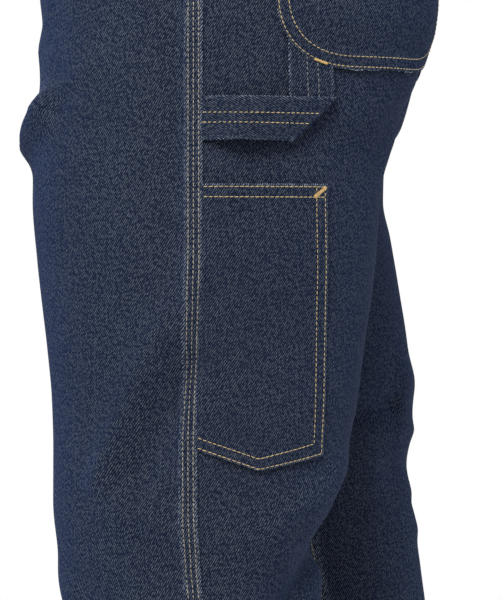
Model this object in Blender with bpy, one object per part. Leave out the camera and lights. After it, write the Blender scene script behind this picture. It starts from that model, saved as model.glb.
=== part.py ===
"""Denim carpenter trousers in the form they hold when worn, with the right leg a step behind the left.

The front faces -Y, the wearer's left is +X and +Z is up. The origin is the middle of the waist, at half the
waistband's height. Sizes in the tables are millimetres, and the finished meshes are metres.

A point of the cloth is named by its side, its turn and its height. Turn is in degrees round one leg: 0 at the
inseam (the centre front above the crotch), 90 at the front, 180 at the outer side, 270 at the back and 360 at the
inseam again (the centre back above the crotch).
"""

import math

import bmesh
import bpy
import numpy as np

MM = 0.001
LEFT, RIGHT = "left", "right"
SIDES = {LEFT: 1.0, RIGHT: -1.0}

# Driving sizes of the garment
BAND_TOP, BAND_BOTTOM = 20.0, -20.0
CROTCH = -255.0
HEM = -1035.0
CLOTH = 1.5
SEAM_GAP = 0.3
CROTCH_REACH = {"front": 70.0, "back": 110.0}
SEAT_DENT, SEAT_DENT_HEIGHT, SEAT_DENT_SPREAD = 0.05, -175.0, 60.0
WAIST_LIFT, WAIST_LIFT_END = 10.0, -150.0
HEM_LEAN = {LEFT: 0.0, RIGHT: 0.18}
LEAN_START = -380.0

# Each row is one level section of a trouser half, its reaches measured from the garment's centre planes
SECTION_COLUMNS = ("height", "centre", "outer", "inner", "middle", "front", "back", "seam")
HIP_ROWS = (
    (20, 50, 151, 0, 0, -111, 111, 0),
    (-20, 52, 157, 0, 0, -114, 117, 0),
    (-80, 63, 171, 0, 0, -118, 135, 1),
    (-140, 78, 182, 0, 0, -112, 152, 2),
    (-164, 84, 185, 0, 0, -109, 153, 2),
    (-184, 88, 187, 0, 0, -107, 151, 2),
    (-204, 91, 187, 0, 0, -110, 145, 2),
    (-224, 93, 187, 0, 0, -111, 140, 2),
    (-244, 95, 187, 0, 0, -111, 134, 2),
)
LEG_ROWS = {
    LEFT: (
        (-268, 97, 188, 1, 0, -112, 121, 2),
        (-297, 98, 188, 5, 0, -113, 117, 2),
        (-336, 99, 186, 11, 0, -110, 114, 2),
        (-363, 100, 184, 15, 0, -107, 111, 1),
        (-396, 102, 181, 21, 0, -103, 106, 0),
        (-429, 103, 179, 26, 0, -100, 102, -1),
        (-462, 105, 177, 31, -2, -99, 95, -2),
        (-495, 107, 176, 35, -4, -99, 89, -2),
        (-535, 108, 176, 38, -4, -94, 84, 0),
        (-562, 109, 177, 40, -3, -88, 80, 2),
        (-610, 110, 178, 42, 0, -84, 82, 4),
        (-700, 113, 181, 46, 3, -77, 83, 5),
        (-800, 116, 185, 49, 5, -70, 82, 7),
        (-900, 119, 189, 51, 6, -66, 80, 8),
        (-1035, 122, 195, 52, 7, -65, 79, 8),
    ),
    RIGHT: (
        (-268, 97, 188, 1, 2, -112, 122, 4),
        (-297, 98, 187, 5, 7, -107, 121, 9),
        (-322, 99, 186, 9, 13, -100, 126, 15),
        (-363, 100, 184, 15, 22, -87, 133, 24),
        (-396, 102, 181, 21, 32, -74, 138, 34),
        (-429, 103, 179, 26, 38, -64, 140, 39),
        (-462, 105, 177, 31, 44, -55, 143, 45),
        (-490, 107, 176, 35, 48, -48, 144, 49),
        (-522, 108, 176, 38, 52, -40, 144, 53),
        (-560, 109, 177, 40, 60, -28, 148, 61),
        (-610, 110, 178, 42, 69, -15, 155, 71),
        (-700, 113, 181, 46, 86, 5, 167, 88),
        (-800, 116, 185, 49, 106, 29, 183, 108),
        (-900, 119, 189, 51, 125, 51, 199, 127),
        (-1035, 122, 195, 52, 150, 78, 222, 152),
    ),
}

# Each row is one fold: its side, how far it stands out or in, its half width, and its path of (turn, height)
FOLD_COLUMNS = ("side", "rise", "width", "path")
FOLDS = (
    (LEFT, 10.5, 13, ((86, -261), (114, -238))),
    (LEFT, -2.5, 16, ((84, -222), (120, -216))),
    (LEFT, 3.0, 13, ((178, -345), (160, -400), (141, -478))),
    (LEFT, -4.0, 14, ((180, -400), (168, -440), (158, -474))),
    (LEFT, 3.0, 14, ((146, -500), (176, -512))),
    (LEFT, -15.0, 26, ((300, -512), (270, -518), (246, -545), (226, -585), (216, -640))),
    (LEFT, 4.0, 15, ((290, -474), (250, -480), (215, -505))),
    (LEFT, -5.0, 16, ((252, -244), (300, -240))),
    (LEFT, 3.0, 14, ((268, -262), (310, -270))),
    (LEFT, -4.0, 18, ((120, -560), (150, -590), (165, -640))),
    (LEFT, 5.0, 20, ((60, -548), (110, -560))),
    (LEFT, -5.0, 20, ((250, -640), (290, -660))),
    (LEFT, 4.0, 26, ((200, -690), (260, -730))),
    (LEFT, -5.0, 22, ((70, -860), (130, -880))),
    (LEFT, 5.0, 24, ((80, -920), (150, -930))),
    (LEFT, -5.0, 18, ((220, -935), (290, -925))),
    (LEFT, 4.0, 20, ((200, -975), (270, -985))),
    (RIGHT, -7.0, 9, ((298, -441), (340, -447))),
    (RIGHT, 4.0, 16, ((225, -425), (285, -424))),
    (RIGHT, -6.0, 20, ((215, -500), (250, -482), (300, -490))),
    (RIGHT, 7.0, 17, ((70, -266), (104, -252))),
    (RIGHT, -4.0, 18, ((70, -230), (110, -222))),
    (RIGHT, -5.0, 20, ((130, -500), (170, -540), (200, -560))),
    (RIGHT, 4.0, 20, ((90, -560), (130, -590))),
    (RIGHT, -5.0, 22, ((230, -640), (290, -620))),
    (RIGHT, 5.0, 24, ((60, -860), (130, -880))),
    (RIGHT, -6.0, 20, ((80, -920), (150, -930))),
    (RIGHT, 5.0, 20, ((220, -950), (290, -940))),
)

# Sizes of the sewn pieces
FELL_WIDTH, FELL_RISE, FELL_STEP = 10.5, 1.3, 1.2
HEM_FOLD, HEM_THICKNESS = 18.0, 1.6
LAP_WIDTH, LAP_RISE, LAP_BOTTOM, LAP_RAMP = 8.0, 2.0, -185.5, 20.0
SCOOP_WIDTH, SCOOP_BOTTOM = 92.0, -85.0
FACING_OVERLAP, FACING_BOTTOM = 14.0, -100.0
YOKE_SIDE, YOKE_CENTRE = -42.0, -66.0
BAND_THICKNESS, BAND_OVERLAP_TURN = 3.0, 34.0
SHIELD_HALF_WIDTH, SHIELD_BOTTOM, SHIELD_GAP = 21.0, -186.0, 0.5
PATCH_RISE = SEAM_GAP + CLOTH
UNDER_GAP = 1.6

RULE_POCKET = {
    "top": -287.0,
    "top_width": 84.0,
    "bottom_width": 88.0,
    "seam_bottom": -458.0,
    "point": -472.0,
    "point_across": 40.0,
    "back_bottom": -463.0,
    "hem": 11.0,
}
BACK_POCKET = {
    "near_edge": 48.0,
    "width": 158.0,
    "top_near": -58.0,
    "top_far": -76.0,
    "bottom": -211.0,
    "corner": (56.0, 52.0),
}
LOOP_STRIP = {
    "top": -231.0,
    "bottom": -259.5,
    "rise_middle": 10.5,
    "rise_end": 7.0,
    "thickness": 1.6,
    "far_edge": 85.5,
    "near_edge": 55.5,
    "layer_gap": 0.6,
    "rest": 1.2,
}
BELT_LOOP = {"width": 12.0, "below": -31.0, "above": 21.5, "bow": 3.2, "thickness": 1.8}
BELT_LOOPS = (
    ("belt_loop_front_left", LEFT, -70.0),
    ("belt_loop_side_left", LEFT, 42.0),
    ("belt_loop_back", LEFT, None),
    ("belt_loop_side_right", RIGHT, 42.0),
    ("belt_loop_front_right", RIGHT, -70.0),
)
BUTTON_RADIUS, BUTTON_HEIGHT, BUTTON_EDGE = 8.5, 3.0, 0.8

DENIM = ((0.028, 0.038, 0.062), 0.85, 0.0)
BUTTON_METAL = ((0.55, 0.38, 0.22), 0.35, 1.0)


def table(columns, rows):
    """A table's columns by name, lowest row first."""
    values = np.array(sorted(rows), float)
    return {name: values[:, i] for i, name in enumerate(columns)}


SECTIONS = {side: table(SECTION_COLUMNS, HIP_ROWS + LEG_ROWS[side]) for side in SIDES}


def eased(known, values, at):
    """Values read smoothly between a table's rows, with no overshoot."""
    step = np.diff(known)
    secant = np.diff(values) / step
    slope = np.concatenate([secant[:1], np.zeros(len(step) - 1), secant[-1:]])
    before, after = secant[:-1], secant[1:]
    same = before * after > 0
    slope[1:-1][same] = 2 * (before * after)[same] / (before + after)[same]
    at = np.clip(at, known[0], known[-1])
    i = np.clip(np.searchsorted(known, at) - 1, 0, len(step) - 1)
    t = (at - known[i]) / step[i]
    start = (1 + 2 * t) * (1 - t) ** 2 * values[i] + t * (1 - t) ** 2 * step[i] * slope[i]
    end = t**2 * (3 - 2 * t) * values[i + 1] - t**2 * (1 - t) * step[i] * slope[i + 1]
    return start + end


def smooth_step(value, low, high):
    """0 below low, 1 above high, and a soft ramp between."""
    t = np.clip((value - low) / (high - low), 0, 1)
    return t * t * (3 - 2 * t)


def section(side, name, height):
    """One column of the section table at a height."""
    rows = SECTIONS[side]
    return eased(rows["height"], rows[name], height)


def openness(height, in_front):
    """How far the rise has parted from the leg's middle: 0 at the crotch, 1 where the front or seat runs straight."""
    reach = np.where(in_front, CROTCH_REACH["front"], CROTCH_REACH["back"])
    share = np.clip((height - CROTCH) / reach, 0, 1)
    dent = SEAT_DENT * np.exp(-(((height - SEAT_DENT_HEIGHT) / SEAT_DENT_SPREAD) ** 2))
    return np.sqrt(1 - (1 - share) ** 2) * np.where(in_front, 1.0, 1.0 - dent)


def plain_section(side, turn, height):
    """x and y of the unfolded section, as on the left side."""
    turn, height = np.broadcast_arrays(np.asarray(turn, float), np.asarray(height, float))
    in_front = turn < 180
    column = {name: section(side, name, height) for name in SECTION_COLUMNS[1:7]}
    reach = np.where(in_front, column["front"], column["back"])
    angle = np.radians(np.where(in_front, turn, 360 - turn))
    opened = openness(height, in_front)
    edge = column["middle"] + opened * (reach - column["middle"])
    flat = smooth_step(opened, 0.3, 0.92)
    across = (1 - flat) * (1 - np.cos(angle)) + flat * angle / (math.pi / 2)
    bend = (1 - flat) * np.sin(angle) + flat * (0.5 - 0.5 * np.cos(math.pi * across))
    inner_edge = column["inner"] + SEAM_GAP / 2
    x_inner = inner_edge + (column["centre"] - inner_edge) * across
    y_inner = edge + (reach - edge) * bend
    x_outer = column["centre"] + (column["outer"] - column["centre"]) * -np.cos(angle)
    y_outer = column["middle"] + (reach - column["middle"]) * np.sin(angle)
    outside = angle > math.pi / 2
    return np.where(outside, x_outer, x_inner), np.where(outside, y_outer, y_inner)


def distance_to_path(side, turn, height, path):
    """Millimetres over the cloth from each point to a path of (turn, height)."""
    girth = (section(side, "back", height) - section(side, "front", height)) / 2
    nearest = np.full(np.shape(turn), np.inf)
    for (turn_a, height_a), (turn_b, height_b) in zip(path, path[1:]):
        across = np.radians(turn - turn_a) * girth
        up = height - height_a
        step_across = np.radians(turn_b - turn_a) * girth
        step_up = height_b - height_a
        share = (across * step_across + up * step_up) / (step_across**2 + step_up**2)
        share = np.clip(share, 0, 1)
        gap = np.hypot(across - share * step_across, up - share * step_up)
        nearest = np.minimum(nearest, gap)
    return nearest


def fold_relief(side, turn, height):
    """How far the folds move the cloth out or in."""
    relief = np.zeros(np.shape(turn))
    for row in FOLDS:
        fold = dict(zip(FOLD_COLUMNS, row))
        if fold["side"] == side:
            away = distance_to_path(side, turn, height, fold["path"])
            relief += fold["rise"] * np.exp(-((away / fold["width"]) ** 2))
    return relief


def surface(side, turn, height):
    """Points of the cloth's outer face, in millimetres."""
    turn, height = np.broadcast_arrays(np.asarray(turn, float), np.asarray(height, float))
    x, y = plain_section(side, turn, height)
    x_next, y_next = plain_section(side, turn + 0.5, height)
    x_last, y_last = plain_section(side, turn - 0.5, height)
    along_x, along_y = x_next - x_last, y_next - y_last
    length = np.hypot(along_x, along_y)
    relief = fold_relief(side, turn, height)
    x = x + along_y / length * relief
    y = y - along_x / length * relief
    lift = WAIST_LIFT * smooth_step(height, WAIST_LIFT_END, BAND_BOTTOM) * y / section(side, "back", height)
    lean = HEM_LEAN[side] * smooth_step(-height, -LEAN_START, -HEM)
    z = height + lift + lean * (y - section(side, "middle", height))
    return np.stack([x * SIDES[side], y, z], axis=-1)


def normal(side, turn, height):
    """Directions straight out of the cloth."""
    along = surface(side, turn + 0.3, height) - surface(side, turn - 0.3, height)
    up = surface(side, turn, height + 0.5) - surface(side, turn, height - 0.5)
    out = np.cross(along, up) * SIDES[side]
    return out / np.linalg.norm(out, axis=-1, keepdims=True)


def lifted(side, turn, height, rise):
    """Points that lie a given rise outside the cloth's outer face."""
    turn, height = np.broadcast_arrays(np.asarray(turn, float), np.asarray(height, float))
    rise = np.broadcast_to(np.asarray(rise, float), turn.shape)
    return surface(side, turn, height) + normal(side, turn, height) * rise[..., None]


def seam_turn(side, height):
    """The turn of the outseam at a height."""
    middle = section(side, "middle", height)
    share = (section(side, "seam", height) - middle) / (section(side, "back", height) - middle)
    return 180 + np.degrees(np.arcsin(share))


def turns_for(side, height, millimetres):
    """The turn that a short distance beside the outseam takes."""
    return np.degrees(millimetres / (section(side, "back", height) - section(side, "middle", height)))


def turn_at(side, height, distance):
    """The turn at a distance from the outseam, measured over the plain section: back is plus, front is minus."""
    height, distance = np.broadcast_arrays(np.asarray(height, float), np.asarray(distance, float))
    found = np.empty(height.shape)
    start = seam_turn(side, height)
    for place in np.ndindex(height.shape):
        sign = 1.0 if distance[place] >= 0 else -1.0
        turns = start[place] + sign * np.linspace(0, 175, 176)
        x, y = plain_section(side, turns, np.full(turns.shape, height[place]))
        run = np.concatenate([[0], np.cumsum(np.hypot(np.diff(x), np.diff(y)))])
        found[place] = np.interp(abs(distance[place]), run, turns)
    return found


def distance_of(side, turn, height):
    """How far each point is from the outseam, measured over the plain section: back is plus, front is minus."""
    start = seam_turn(side, height)
    shares = np.linspace(0, 1, 49)[:, None, None]
    x, y = plain_section(side, start + (turn - start) * shares, height + 0 * shares)
    return np.hypot(np.diff(x, axis=0), np.diff(y, axis=0)).sum(axis=0) * np.sign(turn - start)


def material(name, finish):
    """A plain material from a colour, a roughness and a metallic value."""
    colour, roughness, metallic = finish
    made = bpy.data.materials.new(name)
    made.use_nodes = True
    shader = made.node_tree.nodes["Principled BSDF"]
    shader.inputs["Base Color"].default_value = (*colour, 1.0)
    shader.inputs["Roughness"].default_value = roughness
    shader.inputs["Metallic"].default_value = metallic
    made.diffuse_color = (*colour, 1.0)
    return made


def add_object(name, mesh, finish):
    """Puts a finished mesh in the garment's collection with its own material."""
    mesh.materials.append(material(name, finish))
    made = bpy.data.objects.new(name, mesh)
    bpy.data.collections["carpenter_pants"].objects.link(made)
    return made


def closed_wall(name, outer, inner, faces, finish=DENIM):
    """A closed wall between two matching lists of points in millimetres, joined wherever a face has no neighbour."""
    count = len(outer)
    sides = {(a, b) for face in faces for a, b in zip(face, face[1:] + face[:1])}
    rim = [(a, b) for a, b in sides if (b, a) not in sides]
    all_faces = [list(face) for face in faces]
    all_faces += [[i + count for i in reversed(face)] for face in faces]
    all_faces += [[b, a, a + count, b + count] for a, b in sorted(rim)]
    mesh = bpy.data.meshes.new(name)
    mesh.from_pydata((np.concatenate([outer, inner]) * MM).tolist(), [], all_faces)
    form = bmesh.new()
    form.from_mesh(mesh)
    bmesh.ops.recalc_face_normals(form, faces=form.faces)
    form.to_mesh(mesh)
    form.free()
    mesh.shade_smooth()
    mesh.set_sharp_from_angle(angle=math.radians(50))
    return add_object(name, mesh, finish)


def grid_faces(rows, columns):
    """Two triangles for each cell of a grid."""
    number = np.arange(rows * columns).reshape(rows, columns)
    a, b, c, d = number[:-1, :-1], number[:-1, 1:], number[1:, 1:], number[1:, :-1]
    lower = np.stack([a, b, c], axis=-1).reshape(-1, 3)
    upper = np.stack([a, c, d], axis=-1).reshape(-1, 3)
    return np.concatenate([lower, upper]).tolist()


def wall(name, outer, inner, finish=DENIM):
    """A closed wall of cloth between two grids of points in millimetres."""
    faces = grid_faces(*outer.shape[:2])
    return closed_wall(name, outer.reshape(-1, 3), inner.reshape(-1, 3), faces, finish)


def cloth_wall(name, side, turn, height, rise=0.0, depth=CLOTH, finish=DENIM):
    """A wall whose outer face lies rise outside the garment's surface, and whose inner face is depth further in."""
    turn, height = np.broadcast_arrays(turn, height)
    rise = np.broadcast_to(np.asarray(rise, float), turn.shape)
    depth = np.broadcast_to(np.asarray(depth, float), turn.shape)
    return wall(name, lifted(side, turn, height, rise), lifted(side, turn, height, rise - depth), finish)


def patch_wall(name, side, turn, height, outline, creases=(), hem_above=None):
    """A pocket sewn on a panel: the panel's own faces inside a convex outline, moved out and given thickness.

    The outline is anticlockwise, in millimetres behind the outseam and height. Above hem_above the cloth is double.
    """
    form = bmesh.new()
    on_panel = form.verts.layers.float_vector.new("on_panel")
    outwards = form.verts.layers.float_vector.new("outwards")
    distance = distance_of(side, turn, height)
    points, directions = surface(side, turn, height), normal(side, turn, height)
    for place in np.ndindex(turn.shape):
        vert = form.verts.new((distance[place], height[place], 0))
        vert[on_panel] = points[place]
        vert[outwards] = directions[place]
    form.verts.ensure_lookup_table()
    for face in grid_faces(*turn.shape):
        form.faces.new([form.verts[i] for i in face])
    cuts = [(*pair, True) for pair in zip(outline, outline[1:] + outline[:1])]
    cuts += [(*pair, False) for pair in creases]
    for (x_a, y_a), (x_b, y_b), trim in cuts:
        bmesh.ops.bisect_plane(
            form,
            geom=[*form.verts, *form.edges, *form.faces],
            dist=0.1,
            plane_co=(x_a, y_a, 0),
            plane_no=(y_b - y_a, x_a - x_b, 0),
            clear_outer=trim,
        )
    form.verts.index_update()
    base = np.array([vert[on_panel][:] for vert in form.verts])
    out = np.array([vert[outwards][:] for vert in form.verts])
    out = out / np.linalg.norm(out, axis=-1, keepdims=True)
    heights = np.array([vert.co.y for vert in form.verts])
    doubled = np.zeros(len(heights)) if hem_above is None else (heights > hem_above).astype(float)
    faces = [[vert.index for vert in face.verts] for face in form.faces]
    form.free()
    return closed_wall(name, base + out * (PATCH_RISE + doubled)[:, None], base + out * SEAM_GAP, faces)


def spread(start, end, count):
    """Evenly spaced values without the last one, for joining runs of rows."""
    return np.linspace(start, end, count, endpoint=False)


def leg_heights():
    """The heights of a panel's rows from the hem to the top of the crotch curve, closest where the folds are."""
    curve = CROTCH + CROTCH_REACH["front"] * (1 - np.cos(np.radians(np.arange(0, 91, 15))))
    return np.concatenate([
        [HEM, HEM + HEM_FOLD, HEM + HEM_FOLD + 2],
        spread(-990, -850, 5),
        spread(-850, -700, 4),
        spread(-700, -560, 7),
        spread(-560, -470, 8),
        spread(-470, -300, 9),
        spread(-300, CROTCH, 4),
        curve,
    ])


def front_panel(side):
    """A front, with the outseam's felled edge raised, the turned hem inside, and the fly's lap on the left."""
    scoop = np.radians(np.array([0, 8, 20, 34, 50, 68, 90]))
    scoop_heights = BAND_BOTTOM - SEAM_GAP - (BAND_BOTTOM - SCOOP_BOTTOM) * np.cos(scoop)
    heights = np.concatenate([leg_heights(), spread(-160, SCOOP_BOTTOM - 2, 3), scoop_heights])
    cut = np.zeros(len(heights))
    cut[-len(scoop):] = SCOOP_WIDTH * np.sin(scoop)
    opened = openness(heights, True)
    inner = np.degrees(SEAM_GAP / 2 / 100) * (1 - opened)
    lap = np.zeros(len(heights))
    if side == LEFT:
        lap = smooth_step(heights, LAP_BOTTOM - LAP_RAMP, LAP_BOTTOM)
        reach = LAP_WIDTH * smooth_step(heights, LAP_BOTTOM, LAP_BOTTOM + LAP_RAMP)
        inner = inner - 90 * reach / section(side, "centre", heights)
    seam = seam_turn(side, heights) - turns_for(side, heights, SEAM_GAP / 2)
    edge = np.where(cut > 0, turn_at(side, heights, -np.maximum(cut, SEAM_GAP)), seam)
    band = edge - turns_for(side, heights, FELL_WIDTH)
    step = edge - turns_for(side, heights, FELL_WIDTH + FELL_STEP)
    shares = np.array([0, 0.05, 0.09, 0.18, 0.28, 0.38, 0.48, 0.57, 0.66, 0.75, 0.84, 0.92])
    turns = inner[:, None] + (step - inner)[:, None] * shares[None, :]
    turns = np.concatenate([turns, step[:, None], band[:, None], edge[:, None]], axis=1)
    rise = np.zeros(turns.shape)
    felled = 1 - smooth_step(heights, SCOOP_BOTTOM - 14, SCOOP_BOTTOM - 2)
    rise[:, -2:] = FELL_RISE * felled[:, None]
    rise[:, :3] += LAP_RISE * lap[:, None]
    depth = np.where(heights <= HEM + HEM_FOLD, CLOTH + HEM_THICKNESS, CLOTH)[:, None] + rise * 0
    depth[:, -2:] += FELL_RISE * felled[:, None]
    return cloth_wall(f"front_{side}", side, turns, heights[:, None], rise, depth)


def yoke_seam_height(share):
    """The height of the seam under the yoke, from the outseam (0) to the centre back (1)."""
    return YOKE_SIDE + (YOKE_CENTRE - YOKE_SIDE) * share


def back_turns(side, heights, shares):
    """Turns across the back, from the outseam to the centre back or inseam."""
    start = seam_turn(side, heights) + turns_for(side, heights, SEAM_GAP / 2)
    end = 360 - np.degrees(SEAM_GAP / 2 / 100) * (1 - openness(heights, False))
    return start + (end - start) * shares


def back_grid(side):
    """Turns and heights over a back, from the hem to the yoke's seam."""
    shares = np.array([0, 0.07, 0.15, 0.23, 0.31, 0.39, 0.47, 0.55, 0.63, 0.72, 0.81, 0.9, 0.95, 1])
    level = np.concatenate([leg_heights(), spread(-160, -100, 2)])
    top = yoke_seam_height(shares) - SEAM_GAP / 2
    upper = -100 + (top + 100)[None, :] * np.array([0, 0.5, 1])[:, None]
    heights = np.concatenate([np.repeat(level[:, None], len(shares), axis=1), upper])
    return back_turns(side, heights, shares[None, :]), heights


def back_panel(side):
    """A back, with the turned hem inside."""
    turns, heights = back_grid(side)
    depth = np.where(heights <= HEM + HEM_FOLD, CLOTH + HEM_THICKNESS, CLOTH)
    return cloth_wall(f"back_{side}", side, turns, heights, 0.0, depth)


def yoke(side):
    """The shaped piece between a back and the waistband."""
    shares = np.linspace(0, 1, 9)
    low = yoke_seam_height(shares) + SEAM_GAP / 2
    high = BAND_BOTTOM - SEAM_GAP
    heights = low[None, :] + (high - low)[None, :] * np.linspace(0, 1, 3)[:, None]
    turns = back_turns(side, heights, shares[None, :])
    return cloth_wall(f"yoke_{side}", side, turns, heights)


def pocket_facing(side):
    """The denim that shows inside a front pocket's scooped opening, behind the front."""
    heights = np.linspace(FACING_BOTTOM, BAND_BOTTOM - SEAM_GAP, 5)
    reach = SCOOP_WIDTH + FACING_OVERLAP
    distances = -np.linspace(SEAM_GAP, reach, 8)
    turns = turn_at(side, heights[:, None], distances[None, :])
    return cloth_wall(f"pocket_facing_{side}", side, turns, heights[:, None], -CLOTH - UNDER_GAP, CLOTH)


def band_ring_point(place, height, rise):
    """A point round the whole waist: 0 at the centre front, 360 at the centre back, by way of the left side."""
    on_left = place <= 360
    left = lifted(LEFT, np.where(on_left, place, 0.0), height, rise)
    right = lifted(RIGHT, np.where(on_left, 0.0, 720 - place), height, rise)
    return np.where(on_left[..., None], left, right)


def waistband():
    """The band round the waist, its left end lapped over its right end at the centre front."""
    lap = BAND_OVERLAP_TURN
    places = np.concatenate([
        [-lap, -lap / 2, 0, lap, lap * 1.5],
        np.linspace(70, 340, 15),
        [359.6, 360.4],
        np.linspace(380, 650, 15),
        [720 - lap * 1.5, 720 - lap, 720, 720 + lap / 2, 720 + lap],
    ])
    lapped = 1 - smooth_step(places, lap, lap * 1.5)
    under = smooth_step(places, 720 - lap * 1.5, 720 - lap)
    half = BAND_THICKNESS / 2
    middle = (half + 0.2) * lapped - (half + 0.2) * under
    heights = np.linspace(BAND_BOTTOM, BAND_TOP, 3)
    place, height = np.meshgrid(places, heights)
    outer = band_ring_point(place, height, np.broadcast_to(middle + half, place.shape))
    inner = band_ring_point(place, height, np.broadcast_to(middle - half, place.shape))
    return wall("waistband", outer, inner)


def fly_shield():
    """The straight piece behind the fly's opening."""
    heights = np.linspace(SHIELD_BOTTOM, BAND_BOTTOM - 2, 9)
    offsets = np.linspace(-SHIELD_HALF_WIDTH, SHIELD_HALF_WIDTH, 5)
    turns = 90 * offsets[None, :] / section(LEFT, "centre", heights)[:, None]
    return cloth_wall("fly_shield", LEFT, turns, heights[:, None], -CLOTH - SHIELD_GAP, CLOTH)


def rule_pocket():
    """The long narrow pocket sewn into the left outseam, with a pointed bottom and a turned hem at its mouth."""
    size = RULE_POCKET
    outline = [
        (SEAM_GAP, size["seam_bottom"]),
        (size["point_across"], size["point"]),
        (size["bottom_width"], size["back_bottom"]),
        (size["top_width"], size["top"]),
        (SEAM_GAP, size["top"]),
    ]
    hem = size["top"] - size["hem"]
    creases = [((0, level), (1, level)) for level in (hem, hem - 1.5)]
    return patch_wall("rule_pocket", LEFT, *back_grid(LEFT), outline, creases, hem - 0.5)


def back_pocket(side):
    """A patch pocket on the seat, its lower corners rounded."""
    size = BACK_POCKET
    near, far, bottom = size["near_edge"], size["near_edge"] + size["width"], size["bottom"]
    wide, tall = size["corner"]
    bend = np.radians(np.linspace(0, 90, 6))
    near_corner = np.stack([near + wide * (1 - np.cos(bend)), bottom + tall * (1 - np.sin(bend))], axis=1)
    far_corner = np.stack([far - wide * (1 - np.sin(bend)), bottom + tall * (1 - np.cos(bend))], axis=1)
    outline = [tuple(point) for point in np.concatenate([near_corner, far_corner])]
    outline += [(far, size["top_far"]), (near, size["top_near"])]
    return patch_wall(f"back_pocket_{side}", side, *back_grid(side), outline)


def grid_wall(name, points, thickness):
    """A wall of even thickness about a grid of middle points, for a strip that folds back on itself."""
    along = np.gradient(points, axis=0)
    across = np.gradient(points, axis=1)
    out = np.cross(along, across)
    out = out / np.linalg.norm(out, axis=-1, keepdims=True) * thickness / 2
    return wall(name, points + out, points - out)


def hammer_loop():
    """A doubled strip from the outseam, turned up at a mitred fold and caught at the back pocket's lower edge."""
    size = LOOP_STRIP
    thick = size["thickness"]
    rest = size["rest"] + thick / 2
    across = np.linspace(0, 1, 5)
    low_end, high_end = size["near_edge"], size["far_edge"]
    fold_distance = low_end + (high_end - low_end) * across
    fold_height = size["bottom"] + (size["top"] - size["bottom"]) * across
    rows = []
    for share in np.array([0, 0.1, 0.25, 0.45, 0.65, 0.85]):
        distances = SEAM_GAP + (fold_distance - SEAM_GAP) * share
        rise = rest + (size["rise_middle"] - rest) * smooth_step(share, 0, 0.45)
        rise += (size["rise_end"] - size["rise_middle"]) * smooth_step(share, 0.45, 1)
        rows.append((distances, fold_height, np.full(5, rise)))
    radius = (thick + size["layer_gap"]) / 2
    slope = math.atan2(size["top"] - size["bottom"], high_end - low_end)
    out_across, out_up = math.sin(slope), -math.cos(slope)
    for bend in np.radians(np.array([0, 45, 90, 135, 180])):
        reach = radius * math.sin(bend)
        rise = size["rise_end"] - radius + radius * math.cos(bend)
        rows.append((fold_distance + reach * out_across, fold_height + reach * out_up, np.full(5, rise)))
    pocket = BACK_POCKET
    wide, tall = pocket["corner"]
    aside = np.clip((pocket["near_edge"] + wide - fold_distance) / wide, 0, 0.98)
    curve = pocket["bottom"] + tall * (1 - np.sqrt(1 - aside**2))
    top_end = curve - 2.5
    under_rise = size["rise_end"] - 2 * radius
    for share in np.array([0.2, 0.4, 0.6, 0.8, 1]):
        heights = fold_height + (top_end - fold_height) * share
        rise = under_rise + (rest - under_rise) * smooth_step(share, 0.2, 1)
        rows.append((fold_distance, heights, np.full(5, rise)))
    distances, heights, rises = (np.array(column) for column in zip(*rows))
    points = lifted(LEFT, turn_at(LEFT, heights, distances), heights, rises)
    return grid_wall("hammer_loop", points, thick)


def belt_loop(name, side, distance):
    """A short strip bowed over the waistband, caught above and below it."""
    size = BELT_LOOP
    heights = size["below"] + (size["above"] - size["below"]) * np.array([0, 0.1, 0.25, 0.5, 0.75, 0.9, 1])
    half = size["width"] / 2
    band_face = BAND_THICKNESS / 2
    rise = band_face + SEAM_GAP + size["bow"] * np.array([0.0, 0.35, 0.9, 1, 0.9, 0.35, 0.0])
    rise = rise + size["thickness"]
    if distance is None:
        turn_half = 90 * half / section(LEFT, "centre", heights)
        left = lifted(LEFT, 360 - turn_half, heights, rise)
        right = lifted(RIGHT, 360 - turn_half, heights, rise)
        left_in = lifted(LEFT, 360 - turn_half, heights, rise - size["thickness"])
        right_in = lifted(RIGHT, 360 - turn_half, heights, rise - size["thickness"])
        return wall(name, np.stack([left, right], axis=1), np.stack([left_in, right_in], axis=1))
    turns = turn_at(side, heights[:, None], np.array([[distance - half, distance, distance + half]]))
    return cloth_wall(name, side, turns, heights[:, None], rise[:, None], size["thickness"])


def waist_button():
    """The metal button on the waistband's lap, a low disc with a rounded rim."""
    front = lifted(LEFT, np.array([0.0]), np.array([0.0]), np.array([BAND_THICKNESS + 0.2 + SEAM_GAP]))[0]
    form = bmesh.new()
    bmesh.ops.create_cone(
        form,
        cap_ends=True,
        segments=20,
        radius1=BUTTON_RADIUS * MM,
        radius2=BUTTON_RADIUS * MM,
        depth=BUTTON_HEIGHT * MM,
    )
    rim = [edge for edge in form.edges if all(v.co.z > 0 for v in edge.verts)]
    bmesh.ops.bevel(form, geom=rim, offset=BUTTON_EDGE * MM, segments=2, profile=0.5, affect="EDGES")
    mesh = bpy.data.meshes.new("waist_button")
    form.to_mesh(mesh)
    form.free()
    mesh.shade_smooth()
    mesh.set_sharp_from_angle(angle=math.radians(50))
    button = add_object("waist_button", mesh, BUTTON_METAL)
    button.rotation_euler = (math.radians(90), 0, 0)
    button.location = (0, (front[1] - BUTTON_HEIGHT / 2 - 0.8) * MM, front[2] * MM)
    return button


def main():
    for old in list(bpy.data.objects):
        bpy.data.objects.remove(old)
    garment = bpy.data.collections.new("carpenter_pants")
    bpy.context.scene.collection.children.link(garment)
    for side in SIDES:
        front_panel(side)
        back_panel(side)
        yoke(side)
        pocket_facing(side)
        back_pocket(side)
    waistband()
    fly_shield()
    rule_pocket()
    hammer_loop()
    for name, side, distance in BELT_LOOPS:
        belt_loop(name, side, distance)
    waist_button()


main()
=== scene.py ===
import math

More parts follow.
